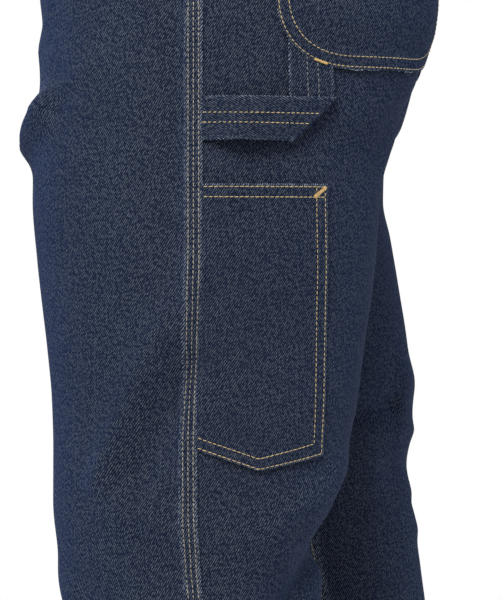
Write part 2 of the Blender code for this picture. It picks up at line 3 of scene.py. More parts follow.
import bmesh
import bpy
import numpy as np
from mathutils import Matrix, Vector


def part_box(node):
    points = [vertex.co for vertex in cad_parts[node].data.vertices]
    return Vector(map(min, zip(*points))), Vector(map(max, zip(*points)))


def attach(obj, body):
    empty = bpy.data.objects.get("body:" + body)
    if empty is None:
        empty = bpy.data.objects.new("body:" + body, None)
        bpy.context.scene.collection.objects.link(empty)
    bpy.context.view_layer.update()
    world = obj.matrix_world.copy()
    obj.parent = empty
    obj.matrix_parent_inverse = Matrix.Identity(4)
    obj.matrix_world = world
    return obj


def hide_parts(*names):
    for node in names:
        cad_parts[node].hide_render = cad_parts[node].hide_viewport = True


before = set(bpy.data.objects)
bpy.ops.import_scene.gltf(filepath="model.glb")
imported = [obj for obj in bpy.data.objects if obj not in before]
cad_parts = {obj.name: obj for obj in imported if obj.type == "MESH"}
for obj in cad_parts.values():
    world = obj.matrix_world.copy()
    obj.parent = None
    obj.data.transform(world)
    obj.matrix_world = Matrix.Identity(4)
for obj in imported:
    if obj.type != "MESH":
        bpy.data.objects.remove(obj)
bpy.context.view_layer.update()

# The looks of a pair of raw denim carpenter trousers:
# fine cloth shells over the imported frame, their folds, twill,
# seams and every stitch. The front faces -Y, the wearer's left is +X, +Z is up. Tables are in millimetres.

MM = 0.001
LEFT, RIGHT = "left", "right"
SIDES = {LEFT: 1.0, RIGHT: -1.0}
CHANCE = np.random.default_rng(7)

# The garment's form, the same as in the solids
BAND_TOP, BAND_BOTTOM = 20.0, -20.0
CROTCH = -255.0
HEM = -1035.0
CLOTH = 1.5
SEAM_GAP = 0.3
CROTCH_REACH = {"front": 70.0, "back": 110.0}
SEAT_DENT, SEAT_DENT_HEIGHT, SEAT_DENT_SPREAD = 0.05, -175.0, 60.0
WAIST_LIFT, WAIST_LIFT_END = 10.0, -150.0
HEM_LEAN = {LEFT: 0.0, RIGHT: 0.18}
LEAN_START = -380.0

# Each row is one level section of a trouser half, its reaches measured from the garment's centre planes
SECTION_COLUMNS = ("height", "centre", "outer", "inner", "middle", "front", "back", "seam")
HIP_ROWS = (
    (20, 50, 151, 0, 0, -111, 111, 0),
    (-20, 52, 157, 0, 0, -114, 117, 0),
    (-80, 63, 171, 0, 0, -118, 135, 1),
    (-140, 78, 182, 0, 0, -112, 152, 2),
    (-164, 84, 185, 0, 0, -109, 153, 2),
    (-184, 88, 187, 0, 0, -107, 151, 2),
    (-204, 91, 187, 0, 0, -110, 145, 2),
    (-224, 93, 187, 0, 0, -111, 140, 2),
    (-244, 95, 187, 0, 0, -111, 134, 2),
)
LEG_ROWS = {
    LEFT: (
        (-268, 97, 188, 1, 0, -112, 121, 2),
        (-297, 98, 188, 5, 0, -113, 117, 2),
        (-336, 99, 186, 11, 0, -110, 114, 2),
        (-363, 100, 184, 15, 0, -107, 111, 1),
        (-396, 102, 181, 21, 0, -103, 106, 0),
        (-429, 103, 179, 26, 0, -100, 102, -1),
        (-462, 105, 177, 31, -2, -99, 95, -2),
        (-495, 107, 176, 35, -4, -99, 89, -2),
        (-535, 108, 176, 38, -4, -94, 84, 0),
        (-562, 109, 177, 40, -3, -88, 80, 2),
        (-610, 110, 178, 42, 0, -84, 82, 4),
        (-700, 113, 181, 46, 3, -77, 83, 5),
        (-800, 116, 185, 49, 5, -70, 82, 7),
        (-900, 119, 189, 51, 6, -66, 80, 8),
        (-1035, 122, 195, 52, 7, -65, 79, 8),
    ),
    RIGHT: (
        (-268, 97, 188, 1, 2, -112, 122, 4),
        (-297, 98, 187, 5, 7, -107, 121, 9),
        (-322, 99, 186, 9, 13, -100, 126, 15),
        (-363, 100, 184, 15, 22, -87, 133, 24),
        (-396, 102, 181, 21, 32, -74, 138, 34),
        (-429, 103, 179, 26, 38, -64, 140, 39),
        (-462, 105, 177, 31, 44, -55, 143, 45),
        (-490, 107, 176, 35, 48, -48, 144, 49),
        (-522, 108, 176, 38, 52, -40, 144, 53),
        (-560, 109, 177, 40, 60, -28, 148, 61),
        (-610, 110, 178, 42, 69, -15, 155, 71),
        (-700, 113, 181, 46, 86, 5, 167, 88),
        (-800, 116, 185, 49, 106, 29, 183, 108),
        (-900, 119, 189, 51, 125, 51, 199, 127),
        (-1035, 122, 195, 52, 150, 78, 222, 152),
    ),
}

# Each row is one fold: its side, how far it stands out or in, its half width, and its path of (turn, height)
FOLD_COLUMNS = ("side", "rise", "width", "path")
FOLDS = (
    (LEFT, 10.5, 13, ((86, -261), (114, -238))),
    (LEFT, -2.5, 16, ((84, -222), (120, -216))),
    (LEFT, 3.0, 13, ((178, -345), (160, -400), (141, -478))),
    (LEFT, -4.0, 14, ((180, -400), (168, -440), (158, -474))),
    (LEFT, 3.0, 14, ((146, -500), (176, -512))),
    (LEFT, -15.0, 26, ((300, -512), (270, -518), (246, -545), (226, -585), (216, -640))),
    (LEFT, 4.0, 15, ((290, -474), (250, -480), (215, -505))),
    (LEFT, -5.0, 16, ((252, -244), (300, -240))),
    (LEFT, 3.0, 14, ((268, -262), (310, -270))),
    (LEFT, -4.0, 18, ((120, -560), (150, -590), (165, -640))),
    (LEFT, 5.0, 20, ((60, -548), (110, -560))),
    (LEFT, -5.0, 20, ((250, -640), (290, -660))),
    (LEFT, 4.0, 26, ((200, -690), (260, -730))),
    (LEFT, -5.0, 22, ((70, -860), (130, -880))),
    (LEFT, 5.0, 24, ((80, -920), (150, -930))),
    (LEFT, -5.0, 18, ((220, -935), (290, -925))),
    (LEFT, 4.0, 20, ((200, -975), (270, -985))),
    (RIGHT, -7.0, 9, ((298, -441), (340, -447))),
    (RIGHT, 4.0, 16, ((225, -425), (285, -424))),
    (RIGHT, -6.0, 20, ((215, -500), (250, -482), (300, -490))),
    (RIGHT, 7.0, 17, ((70, -266), (104, -252))),
    (RIGHT, -4.0, 18, ((70, -230), (110, -222))),
    (RIGHT, -5.0, 20, ((130, -500), (170, -540), (200, -560))),
    (RIGHT, 4.0, 20, ((90, -560), (130, -590))),
    (RIGHT, -5.0, 22, ((230, -640), (290, -620))),
    (RIGHT, 5.0, 24, ((60, -860), (130, -880))),
    (RIGHT, -6.0, 20, ((80, -920), (150, -930))),
    (RIGHT, 5.0, 20, ((220, -950), (290, -940))),
)

# Finer creases that only the cloth shells have
CREASES = (
    (LEFT, -2.2, 9, ((172, -150), (172, -300), (170, -372))),
    (LEFT, 3.0, 10, ((172, -372), (158, -410), (139, -478))),
    (LEFT, -3.0, 10, ((178, -405), (166, -445), (157, -476))),
    (LEFT, -1.4, 12, ((206, -365), (210, -440))),
    (LEFT, 2.5, 14, ((205, -520), (226, -505), (250, -492))),
    (LEFT, 1.6, 5, ((108, -234), (124, -222), (140, -214))),
    (LEFT, -1.2, 5, ((112, -246), (130, -232))),
    (LEFT, 1.2, 6, ((92, -196), (110, -176), (122, -150))),
    (LEFT, -1.0, 6, ((100, -205), (122, -186))),
    (LEFT, 1.2, 7, ((170, -430), (158, -470), (150, -500))),
    (LEFT, -1.3, 6, ((150, -496), (164, -520), (176, -540))),
    (LEFT, 1.4, 7, ((205, -540), (232, -516), (262, -498))),
    (LEFT, -1.6, 6, ((250, -536), (285, -528))),
    (LEFT, 1.5, 7, ((240, -556), (280, -548))),
    (LEFT, 1.2, 7, ((30, -275), (60, -262), (84, -262))),
    (LEFT, -1.4, 6, ((20, -290), (56, -276))),
    (LEFT, 1.4, 7, ((280, -228), (318, -246), (345, -262))),
    (LEFT, -1.2, 6, ((290, -262), (330, -280))),
    (RIGHT, 1.6, 6, ((30, -272), (62, -262), (96, -252))),
    (RIGHT, -1.4, 6, ((24, -292), (58, -278))),
    (RIGHT, 1.3, 7, ((96, -204), (118, -180), (130, -150))),
    (RIGHT, 1.4, 7, ((282, -232), (318, -250), (345, -262))),
    (RIGHT, 1.6, 6, ((232, -458), (262, -462), (296, -456))),
    (RIGHT, -1.6, 6, ((240, -520), (276, -512))),
    (RIGHT, 1.6, 7, ((225, -545), (262, -530), (296, -538))),
    (RIGHT, -1.4, 7, ((120, -470), (150, -500), (176, -530))),
)

# Sewn details
FELL_WIDTH, FELL_RISE, FELL_LAP = 10.8, 1.3, 0.9
HEM_FOLD = 18.0
LAP_WIDTH, LAP_RISE, LAP_BOTTOM, LAP_RAMP = 8.0, 2.0, -185.5, 20.0
SCOOP_WIDTH, SCOOP_BOTTOM = 92.0, -85.0
FACING_OVERLAP, FACING_BOTTOM = 14.0, -100.0
YOKE_SIDE, YOKE_CENTRE = -42.0, -66.0
BAND_THICKNESS, BAND_OVERLAP_TURN = 3.0, 34.0
SHIELD_HALF_WIDTH, SHIELD_BOTTOM, SHIELD_GAP = 21.0, -186.0, 0.5
RULE_POCKET = {
    "top": -287.0,
    "top_width": 84.0,
    "bottom_width": 88.0,
    "seam_bottom": -458.0,
    "point": -472.0,
    "point_across": 40.0,
    "back_bottom": -463.0,
}
BACK_POCKET = {
    "near_edge": 47.0,
    "width": 160.0,
    "top_near": -58.0,
    "top_far": -76.0,
    "bottom": -213.0,
    "corner": (56.0, 52.0),
    "fullness": 2.5,
}
LOOP_TACK = (72.5, -207.0), (81.5, -210.0)
LOOP_STRIP = {
    "top": -231.0,
    "bottom": -259.5,
    "rise_middle": 10.5,
    "rise_end": 7.0,
    "thickness": 1.6,
    "far_edge": 85.5,
    "near_edge": 55.5,
    "layer_gap": 0.6,
    "rest": 1.2,
}
BELT_LOOP = {"width": 12.0, "below": -31.0, "above": 21.5, "bow": 3.2, "thickness": 1.8}
BELT_LOOPS = (
    ("belt_loop_front_left", LEFT, -70.0),
    ("belt_loop_side_left", LEFT, 42.0),
    ("belt_loop_back", LEFT, None),
    ("belt_loop_side_right", RIGHT, 42.0),
    ("belt_loop_front_right", RIGHT, -70.0),
)
BUTTON_HEIGHT = 3.0
EDGE_FOLD = 9.0
PATCH_RISE, PATCH_THICKNESS = 2.0, 1.0

STITCH_PITCH, STITCH_LENGTH, STITCH_WIDTH = 3.3, 2.75, 0.62
TWIN_ROWS = (2.0, 8.6)
FELL_ROWS = (-1.8, -5.1, -8.4)
PALE_THREAD, GOLD_THREAD, TACK_THREAD = "pale", "gold", "tack"
DIM_THREAD, NAVY_THREAD = "dim", "navy"

# Camera and stage, in metres
LEG_POINT = (0.105, 0.0, -0.363)
CAMERA_AZIMUTH, CAMERA_ELEVATION, CAMERA_DISTANCE = 92.0, 1.0, 2.6
AIM_ASIDE = 0.031
LENS, SENSOR = 236.3, 36.0
FLOOR_HEIGHT, FLOOR_RADIUS = -1.062, 2.6


def table(columns, rows):
    """A table's columns by name, lowest row first."""
    values = np.array(sorted(rows), float)
    return {name: values[:, i] for i, name in enumerate(columns)}


SECTIONS = {side: table(SECTION_COLUMNS, HIP_ROWS + LEG_ROWS[side]) for side in SIDES}


def eased(known, values, at):
    """Values read smoothly between a table's rows, with no overshoot."""
    step = np.diff(known)
    secant = np.diff(values) / step
    slope = np.concatenate([secant[:1], np.zeros(len(step) - 1), secant[-1:]])
    before, after = secant[:-1], secant[1:]
    same = before * after > 0
    slope[1:-1][same] = 2 * (before * after)[same] / (before + after)[same]
    at = np.clip(at, known[0], known[-1])
    i = np.clip(np.searchsorted(known, at) - 1, 0, len(step) - 1)
    t = (at - known[i]) / step[i]
    start = (1 + 2 * t) * (1 - t) ** 2 * values[i] + t * (1 - t) ** 2 * step[i] * slope[i]
    end = t**2 * (3 - 2 * t) * values[i + 1] - t**2 * (1 - t) * step[i] * slope[i + 1]
    return start + end


def smooth_step(value, low, high):
    """0 below low, 1 above high, and a soft ramp between."""
    t = np.clip((value - low) / (high - low), 0, 1)
    return t * t * (3 - 2 * t)


def section(side, name, height):
    """One column of the section table at a height."""
    rows = SECTIONS[side]
    return eased(rows["height"], rows[name], height)


def openness(height, in_front):
    """How far the rise has parted from the leg's middle: 0 at the crotch, 1 where it runs straight."""
    reach = np.where(in_front, CROTCH_REACH["front"], CROTCH_REACH["back"])
    share = np.clip((height - CROTCH) / reach, 0, 1)
    dent = SEAT_DENT * np.exp(-(((height - SEAT_DENT_HEIGHT) / SEAT_DENT_SPREAD) ** 2))
    return np.sqrt(1 - (1 - share) ** 2) * np.where(in_front, 1.0, 1.0 - dent)


def plain_section(side, turn, height):
    """x and y of the unfolded section, as on the left side."""
    turn, height = np.broadcast_arrays(np.asarray(turn, float), np.asarray(height, float))
    in_front = turn < 180
    column = {name: section(side, name, height) for name in SECTION_COLUMNS[1:7]}
    reach = np.where(in_front, column["front"], column["back"])
    angle = np.radians(np.where(in_front, turn, 360 - turn))
    opened = openness(height, in_front)
    edge = column["middle"] + opened * (reach - column["middle"])
    flat = smooth_step(opened, 0.3, 0.92)
    across = (1 - flat) * (1 - np.cos(angle)) + flat * angle / (math.pi / 2)
    bend = (1 - flat) * np.sin(angle) + flat * (0.5 - 0.5 * np.cos(math.pi * across))
    inner_edge = column["inner"] + SEAM_GAP / 2
    x_inner = inner_edge + (column["centre"] - inner_edge) * across
    y_inner = edge + (reach - edge) * bend
    x_outer = column["centre"] + (column["outer"] - column["centre"]) * -np.cos(angle)
    y_outer = column["middle"] + (reach - column["middle"]) * np.sin(angle)
    outside = angle > math.pi / 2
    return np.where(outside, x_outer, x_inner), np.where(outside, y_outer, y_inner)


def distance_to_path(side, turn, height, path):
    """Millimetres over the cloth from each point to a path of (turn, height)."""
    girth = (section(side, "back", height) - section(side, "front", height)) / 2
    nearest = np.full(np.shape(turn), np.inf)
    for (turn_a, height_a), (turn_b, height_b) in zip(path, path[1:]):
        across = np.radians(turn - turn_a) * girth
        up = height - height_a
        step_across = np.radians(turn_b - turn_a) * girth
        step_up = height_b - height_a
        share = (across * step_across + up * step_up) / (step_across**2 + step_up**2)
        share = np.clip(share, 0, 1)
        gap = np.hypot(across - share * step_across, up - share * step_up)
        nearest = np.minimum(nearest, gap)
    return nearest


def seam_turn(side, height):
    """The turn of the outseam at a height."""
    middle = section(side, "middle", height)
    share = (section(side, "seam", height) - middle) / (section(side, "back", height) - middle)
    return 180 + np.degrees(np.arcsin(share))


def turns_for(side, height, millimetres):
    """The turn that a short distance beside the outseam takes."""
    return np.degrees(millimetres / (section(side, "back", height) - section(side, "middle", height)))


def pucker(side, turn, height):
    """Small uneven ripples that the thread's pull leaves beside the outseam and the inseam."""
    girth = (section(side, "back", height) - section(side, "front", height)) / 2
    beside = np.radians(np.abs(turn - seam_turn(side, height))) * girth
    inside = np.radians(np.minimum(turn, 360 - turn)) * girth
    wave = np.sin(height / 2.6 + 1.7 * np.sin(height / 17)) * (0.6 + 0.4 * np.sin(height / 31 + 1))
    slow = np.sin(height / 5.8 + 2.3 * np.sin(height / 41))
    near_out = np.exp(-((beside / 13) ** 2))
    near_in = np.exp(-((inside / 13) ** 2)) * (height < CROTCH)
    return (0.22 * wave + 0.28 * slow) * (near_out + near_in)


def fold_relief(side, turn, height):
    """How far the folds, creases and puckers move the cloth out or in."""
    relief = pucker(side, turn, height)
    for row in FOLDS + CREASES:
        fold = dict(zip(FOLD_COLUMNS, row))
        if fold["side"] == side:
            away = distance_to_path(side, turn, height, fold["path"])
            relief = relief + fold["rise"] * np.exp(-((away / fold["width"]) ** 2))
    return relief


def surface(side, turn, height):
    """Points of the cloth's outer face, in millimetres."""
    turn, height = np.broadcast_arrays(np.asarray(turn, float), np.asarray(height, float))
    x, y = plain_section(side, turn, height)
    x_next, y_next = plain_section(side, turn + 0.5, height)
    x_last, y_last = plain_section(side, turn - 0.5, height)
    along_x, along_y = x_next - x_last, y_next - y_last
    length = np.hypot(along_x, along_y)
    relief = fold_relief(side, turn, height)
    x = x + along_y / length * relief
    y = y - along_x / length * relief
    lift = WAIST_LIFT * smooth_step(height, WAIST_LIFT_END, BAND_BOTTOM) * y / section(side, "back", height)
    lean = HEM_LEAN[side] * smooth_step(-height, -LEAN_START, -HEM)
    z = height + lift + lean * (y - section(side, "middle", height))
    return np.stack([x * SIDES[side], y, z], axis=-1)


def normal(side, turn, height):
    """Directions straight out of the cloth."""
    along = surface(side, turn + 0.3, height) - surface(side, turn - 0.3, height)
    up = surface(side, turn, height + 0.5) - surface(side, turn, height - 0.5)
    out = np.cross(along, up) * SIDES[side]
    return out / np.linalg.norm(out, axis=-1, keepdims=True)


def lifted(side, turn, height, rise):
    """Points that lie a given rise outside the cloth's outer face."""
    turn, height = np.broadcast_arrays(np.asarray(turn, float), np.asarray(height, float))
    rise = np.broadcast_to(np.asarray(rise, float), turn.shape)
    return surface(side, turn, height) + normal(side, turn, height) * rise[..., None]


def turn_at(side, height, distance):
    """The turn at a distance from the outseam over the plain section: back is plus, front is minus."""
    height, distance = np.broadcast_arrays(np.asarray(height, float), np.asarray(distance, float))
    start = seam_turn(side, height)
    sign = np.where(distance < 0, -1.0, 1.0)
    steps = np.linspace(0, 175, 176)
    turns = start[..., None] + sign[..., None] * steps
    x, y = plain_section(side, turns, height[..., None] + 0 * steps)
    pieces = np.hypot(np.diff(x, axis=-1), np.diff(y, axis=-1))
    run = np.concatenate([np.zeros(height.shape + (1,)), np.cumsum(pieces, axis=-1)], axis=-1)
    reach = np.abs(distance)
    i = np.clip((run < reach[..., None]).sum(axis=-1) - 1, 0, 174)
    low = np.take_along_axis(run, i[..., None], axis=-1)[..., 0]
    high = np.take_along_axis(run, i[..., None] + 1, axis=-1)[..., 0]
    share = np.clip((reach - low) / (high - low), 0, 1)
    return start + sign * (i + share)


def distance_of(side, turn, height):
    """Each point's distance from the outseam over the plain section: back is plus, front is minus."""
    start = seam_turn(side, height)
    shares = np.linspace(0, 1, 49)[:, None, None]
    x, y = plain_section(side, start + (turn - start) * shares, height + 0 * shares)
    return np.hypot(np.diff(x, axis=0), np.diff(y, axis=0)).sum(axis=0) * np.sign(turn - start)


def node_socket(tree, kind, **inputs):
    """A new shader node with some inputs set or linked, by socket name."""
    node = tree.nodes.new(kind)
    for name, value in inputs.items():
        key = int(name[1:]) if name[0] == "_" else name.replace("_", " ")
        if isinstance(value, bpy.types.NodeSocket):
            tree.links.new(value, node.inputs[key])
        else:
            node.inputs[key].default_value = value
    return node


def maths(tree, operation, first, second=0.0, third=0.0):
    """The result of one Math node."""
    node = node_socket(tree, "ShaderNodeMath", _0=first, _1=second, _2=third)
    node.operation = operation
    return node.outputs[0]


def mixed(tree, factor, first, second, blend="MIX"):
    """The colour from one Mix node."""
    node = tree.nodes.new("ShaderNodeMix")
    node.data_type = "RGBA"
    node.blend_type = blend
    for key, value in ((0, factor), (6, first), (7, second)):
        if isinstance(value, bpy.types.NodeSocket):
            tree.links.new(value, node.inputs[key])
        else:
            node.inputs[key].default_value = value
    return node.outputs[2]


def noise(tree, vector, scale, detail=2.0, roughness=0.5):
    """The value of one Noise node."""
    made = node_socket(
        tree, "ShaderNodeTexNoise", Vector=vector, Scale=scale, Detail=detail, Roughness=roughness
    )
    return made.outputs[0]


def ramp(tree, value, low, high):
    """A value spread from 0 at low to 1 at high, softly."""
    node = node_socket(tree, "ShaderNodeMapRange", Value=value)
    node.interpolation_type = "SMOOTHSTEP"
    node.inputs["From Min"].default_value = low
    node.inputs["From Max"].default_value = high
    return node.outputs[0]


TWILL_ACROSS, TWILL_UP = 1.50, 2.44
PICK_PITCH = 0.575
WARP_DARK = (0.0008, 0.0014, 0.0040, 1)
WARP_LIGHT = (0.0026, 0.0044, 0.0100, 1)
WEFT = (0.052, 0.058, 0.063, 1)
SHEEN_TINT = (0.010, 0.050, 0.22, 1)


def ripple(tree, value, pitch):
    """A smooth wave from 0 to 1 along a value."""
    cosine = maths(tree, "COSINE", maths(tree, "MULTIPLY", value, 2 * math.pi / pitch))
    return maths(tree, "MULTIPLY_ADD", cosine, 0.5, 0.5)


def pattern_place(tree, across, up):
    """A noise's place, from two values."""
    return node_socket(tree, "ShaderNodeCombineXYZ", X=across, Y=up).outputs[0]


def denim(name, weft_share, warp_dark=WARP_DARK, warp_light=WARP_LIGHT, weft=WEFT):
    """Twill in the cloth's own millimetres: indigo ridges climbing to the right, weft specks between."""
    made = bpy.data.materials.new(name)
    made.use_nodes = True
    tree = made.node_tree
    shader = tree.nodes["Principled BSDF"]
    along = tree.nodes.new("ShaderNodeUVMap")
    along.uv_map = "cloth"
    split = node_socket(tree, "ShaderNodeSeparateXYZ", Vector=along.outputs[0])
    u = maths(tree, "MULTIPLY", split.outputs[0], 1000.0)
    v = maths(tree, "MULTIPLY", split.outputs[1], 1000.0)
    place = node_socket(tree, "ShaderNodeCombineXYZ", X=u, Y=v).outputs[0]

    wander = noise(tree, place, 0.22, 2.0)
    wobble = maths(tree, "MULTIPLY", maths(tree, "SUBTRACT", wander, 0.5), 0.5)
    line = maths(tree, "SUBTRACT", maths(tree, "DIVIDE", u, TWILL_ACROSS), maths(tree, "DIVIDE", v, TWILL_UP))
    line = maths(tree, "ADD", line, wobble)
    climb = maths(tree, "ADD", maths(tree, "MULTIPLY", u, 0.52), maths(tree, "MULTIPLY", v, 0.85))
    ridge = ripple(tree, line, 1.0)
    pick = ripple(tree, v, PICK_PITCH)

    streaks = noise(tree, pattern_place(tree, u, maths(tree, "MULTIPLY", v, 0.03)), 0.9, 4.0, 0.7)
    picks = noise(tree, pattern_place(tree, maths(tree, "MULTIPLY", u, 0.05), v), 0.8, 3.0, 0.6)
    grain = noise(tree, place, 1.15, 3.0, 0.75)
    along_line = pattern_place(tree, maths(tree, "MULTIPLY", line, 1.6), maths(tree, "MULTIPLY", climb, 0.46))
    dashes = noise(tree, along_line, 1.0, 1.0, 0.6)
    cloud = noise(tree, place, 0.018, 3.0, 0.6)

    # The edge attribute pales folded edges: partly wear with weft showing at the fold, partly painted
    # highlight where the rolled edge catches light.
    wear_and_highlight = node_socket(tree, "ShaderNodeAttribute")
    wear_and_highlight.attribute_name = "edge"
    bare = maths(tree, "MULTIPLY_ADD", wear_and_highlight.outputs["Fac"], 0.9, 0.62)
    valley = ramp(tree, ridge, 0.66, 0.20)
    broken = maths(tree, "MULTIPLY_ADD", ramp(tree, dashes, 0.44, 0.58), 0.9, 0.16)
    speck = maths(tree, "MULTIPLY", valley, maths(tree, "MULTIPLY_ADD", pick, 0.2, 0.8))
    speck = maths(tree, "MULTIPLY", speck, maths(tree, "MULTIPLY", broken, maths(tree, "ADD", streaks, 0.45)))
    bare_weft = maths(tree, "MULTIPLY", bare, weft_share)
    speck = maths(tree, "MINIMUM", maths(tree, "MULTIPLY", speck, bare_weft), 1.0)
    shade = maths(tree, "MULTIPLY_ADD", streaks, 0.55, maths(tree, "MULTIPLY", dashes, 0.55))
    ridge_share = maths(tree, "MULTIPLY_ADD", ridge, 0.8, 0.2)
    shade = maths(tree, "MULTIPLY", ramp(tree, shade, 0.46, 0.72), ridge_share)
    colour = mixed(tree, shade, warp_dark, warp_light)
    colour = mixed(tree, speck, colour, weft)
    fleck = ramp(tree, noise(tree, place, 0.9, 1.0, 0.4), 0.66, 0.76)
    colour = mixed(tree, maths(tree, "MULTIPLY", fleck, 0.55), colour, weft)
    tone = maths(tree, "MULTIPLY_ADD", cloud, 0.36, 0.82)
    tone = maths(tree, "MULTIPLY", tone, maths(tree, "MULTIPLY_ADD", picks, 0.16, 0.92))
    # Folded edges made up to half again brighter: painted highlight as well as wear.
    tone = maths(tree, "MULTIPLY", tone, maths(tree, "MULTIPLY_ADD", wear_and_highlight.outputs["Fac"], 0.5, 1.0))
    grey = node_socket(tree, "ShaderNodeCombineXYZ", X=tone, Y=tone, Z=tone).outputs[0]
    colour = mixed(tree, 1.0, colour, grey, "MULTIPLY")
    tree.links.new(colour, shader.inputs["Base Color"])

    height = maths(tree, "MULTIPLY_ADD", ridge, 0.75, maths(tree, "MULTIPLY", grain, 0.45))
    height = maths(tree, "ADD", height, maths(tree, "MULTIPLY", pick, 0.12))
    bump = node_socket(tree, "ShaderNodeBump", Strength=0.75, Distance=0.00028, Height=height)
    tree.links.new(bump.outputs[0], shader.inputs["Normal"])
    shader.inputs["Roughness"].default_value = 0.82
    shader.inputs["Specular IOR Level"].default_value = 0.02
    shader.inputs["Sheen Weight"].default_value = 0.13
    shader.inputs["Sheen Roughness"].default_value = 0.75
    shader.inputs["Sheen Tint"].default_value = SHEEN_TINT
    return made


def thread(name, colour):
    """Sewing thread with a slight change of tone from stitch to stitch."""
    made = bpy.data.materials.new(name)
    made.use_nodes = True
    tree = made.node_tree
    shader = tree.nodes["Principled BSDF"]
    place = tree.nodes.new("ShaderNodeTexCoord").outputs["Object"]
    tone = noise(tree, place, 260.0, 2.0)
    tone = maths(tree, "MULTIPLY_ADD", tone, 0.9, 0.55)
    grey = node_socket(tree, "ShaderNodeCombineXYZ", X=tone, Y=tone, Z=tone).outputs[0]
    tree.links.new(mixed(tree, 1.0, (*colour, 1), grey, "MULTIPLY"), shader.inputs["Base Color"])
    twist = noise(tree, place, 2600.0, 1.0)
    bump = node_socket(tree, "ShaderNodeBump", Strength=0.5, Distance=0.0001, Height=twist)
    tree.links.new(bump.outputs[0], shader.inputs["Normal"])
    shader.inputs["Roughness"].default_value = 0.6
    shader.inputs["Sheen Weight"].default_value = 0.2
    return made


def button_metal():
    """Satin copper-toned metal with fine uneven dulling."""
    made = bpy.data.materials.new("button_copper")
    made.use_nodes = True
    tree = made.node_tree
    shader = tree.nodes["Principled BSDF"]
    place = tree.nodes.new("ShaderNodeTexCoord").outputs["Object"]
    cloud = noise(tree, place, 420.0, 4.0)
    colour = mixed(tree, ramp(tree, cloud, 0.35, 0.7), (0.33, 0.18, 0.10, 1), (0.62, 0.38, 0.23, 1))
    tree.links.new(colour, shader.inputs["Base Color"])
    rough = maths(tree, "MULTIPLY_ADD", cloud, 0.35, 0.18)
    tree.links.new(rough, shader.inputs["Roughness"])
    shader.inputs["Metallic"].default_value = 1.0
    return made


DENIM_FACE = denim("denim_face", 1.0)
DENIM_REVERSE = denim(
    "denim_reverse", 1.0, (0.050, 0.060, 0.085, 1), (0.15, 0.16, 0.18, 1), (0.22, 0.23, 0.24, 1)
)
THREADS = {
    PALE_THREAD: thread("thread_pale", (0.086, 0.073, 0.042)),
    GOLD_THREAD: thread("thread_gold", (0.170, 0.118, 0.036)),
    TACK_THREAD: thread("thread_tack", (0.190, 0.110, 0.018)),
    DIM_THREAD: thread("thread_dim", (0.050, 0.052, 0.046)),
    NAVY_THREAD: thread("thread_navy", (0.007, 0.010, 0.025)),
}


def cloth(name, points, places, replaces=(), edge=0.0, cut=None, held="stretched", thickness=CLOTH):
    """A shell of denim through a grid of points in millimetres: rows go up, columns to the right.

    places is the pattern's own (across, up) at each point, and edge says how worn each point is and how much
    painted highlight its folded edge gets.
    """
    rows, columns = points.shape[:2]
    form = bmesh.new()
    bmesh.ops.create_grid(form, x_segments=columns - 1, y_segments=rows - 1, size=1)
    mesh = bpy.data.meshes.new(name)
    form.to_mesh(mesh)
    form.free()
    spots = np.empty(len(mesh.vertices) * 3)
    mesh.vertices.foreach_get("co", spots)
    spots = spots.reshape(-1, 3)
    column = np.rint((spots[:, 0] + 1) / 2 * (columns - 1)).astype(int)
    row = np.rint((spots[:, 1] + 1) / 2 * (rows - 1)).astype(int)
    mesh.vertices.foreach_set("co", (points[row, column] * MM).ravel())
    corners = np.empty(len(mesh.loops), int)
    mesh.loops.foreach_get("vertex_index", corners)
    for layer in list(mesh.uv_layers):
        mesh.uv_layers.remove(layer)
    layer = mesh.uv_layers.new(name="cloth")
    layer.data.foreach_set("uv", (places[row, column][corners] * MM).ravel())
    # edge: wear plus painted highlight on folded edges, read by the denim's shader.
    wear_and_highlight = mesh.attributes.new("edge", "FLOAT", "POINT")
    wear_and_highlight.data.foreach_set("value", np.broadcast_to(edge, (rows, columns))[row, column])
    mesh.shade_smooth()
    mesh.materials.append(DENIM_FACE)
    mesh.materials.append(DENIM_REVERSE)
    made = bpy.data.objects.new(name, mesh)
    bpy.context.scene.collection.objects.link(made)
    wall = made.modifiers.new("wall", "SOLIDIFY")
    wall.thickness = thickness * MM
    wall.offset = -1
    wall.use_even_offset = False
    wall.material_offset = 1
    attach(made, "root")
    if replaces:
        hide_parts(*replaces)
    return made


def garment_cloth(name, side, turn, height, rise=0.0, **facts):
    """A shell on the garment's surface, given by turns and heights, at a rise outside it."""
    turn, height = np.broadcast_arrays(turn, height)
    rise = np.broadcast_to(np.asarray(rise, float), turn.shape)
    points = lifted(side, turn, height, rise)
    places = np.stack([distance_of(side, turn, height) * SIDES[side], height], axis=-1)
    edge = np.broadcast_to(facts.pop("edge", 0.0), turn.shape)
    if side == RIGHT:
        points, places, edge = points[:, ::-1], places[:, ::-1], edge[:, ::-1]
    return cloth(name, points, places, edge=edge, **facts)


STITCHES = []


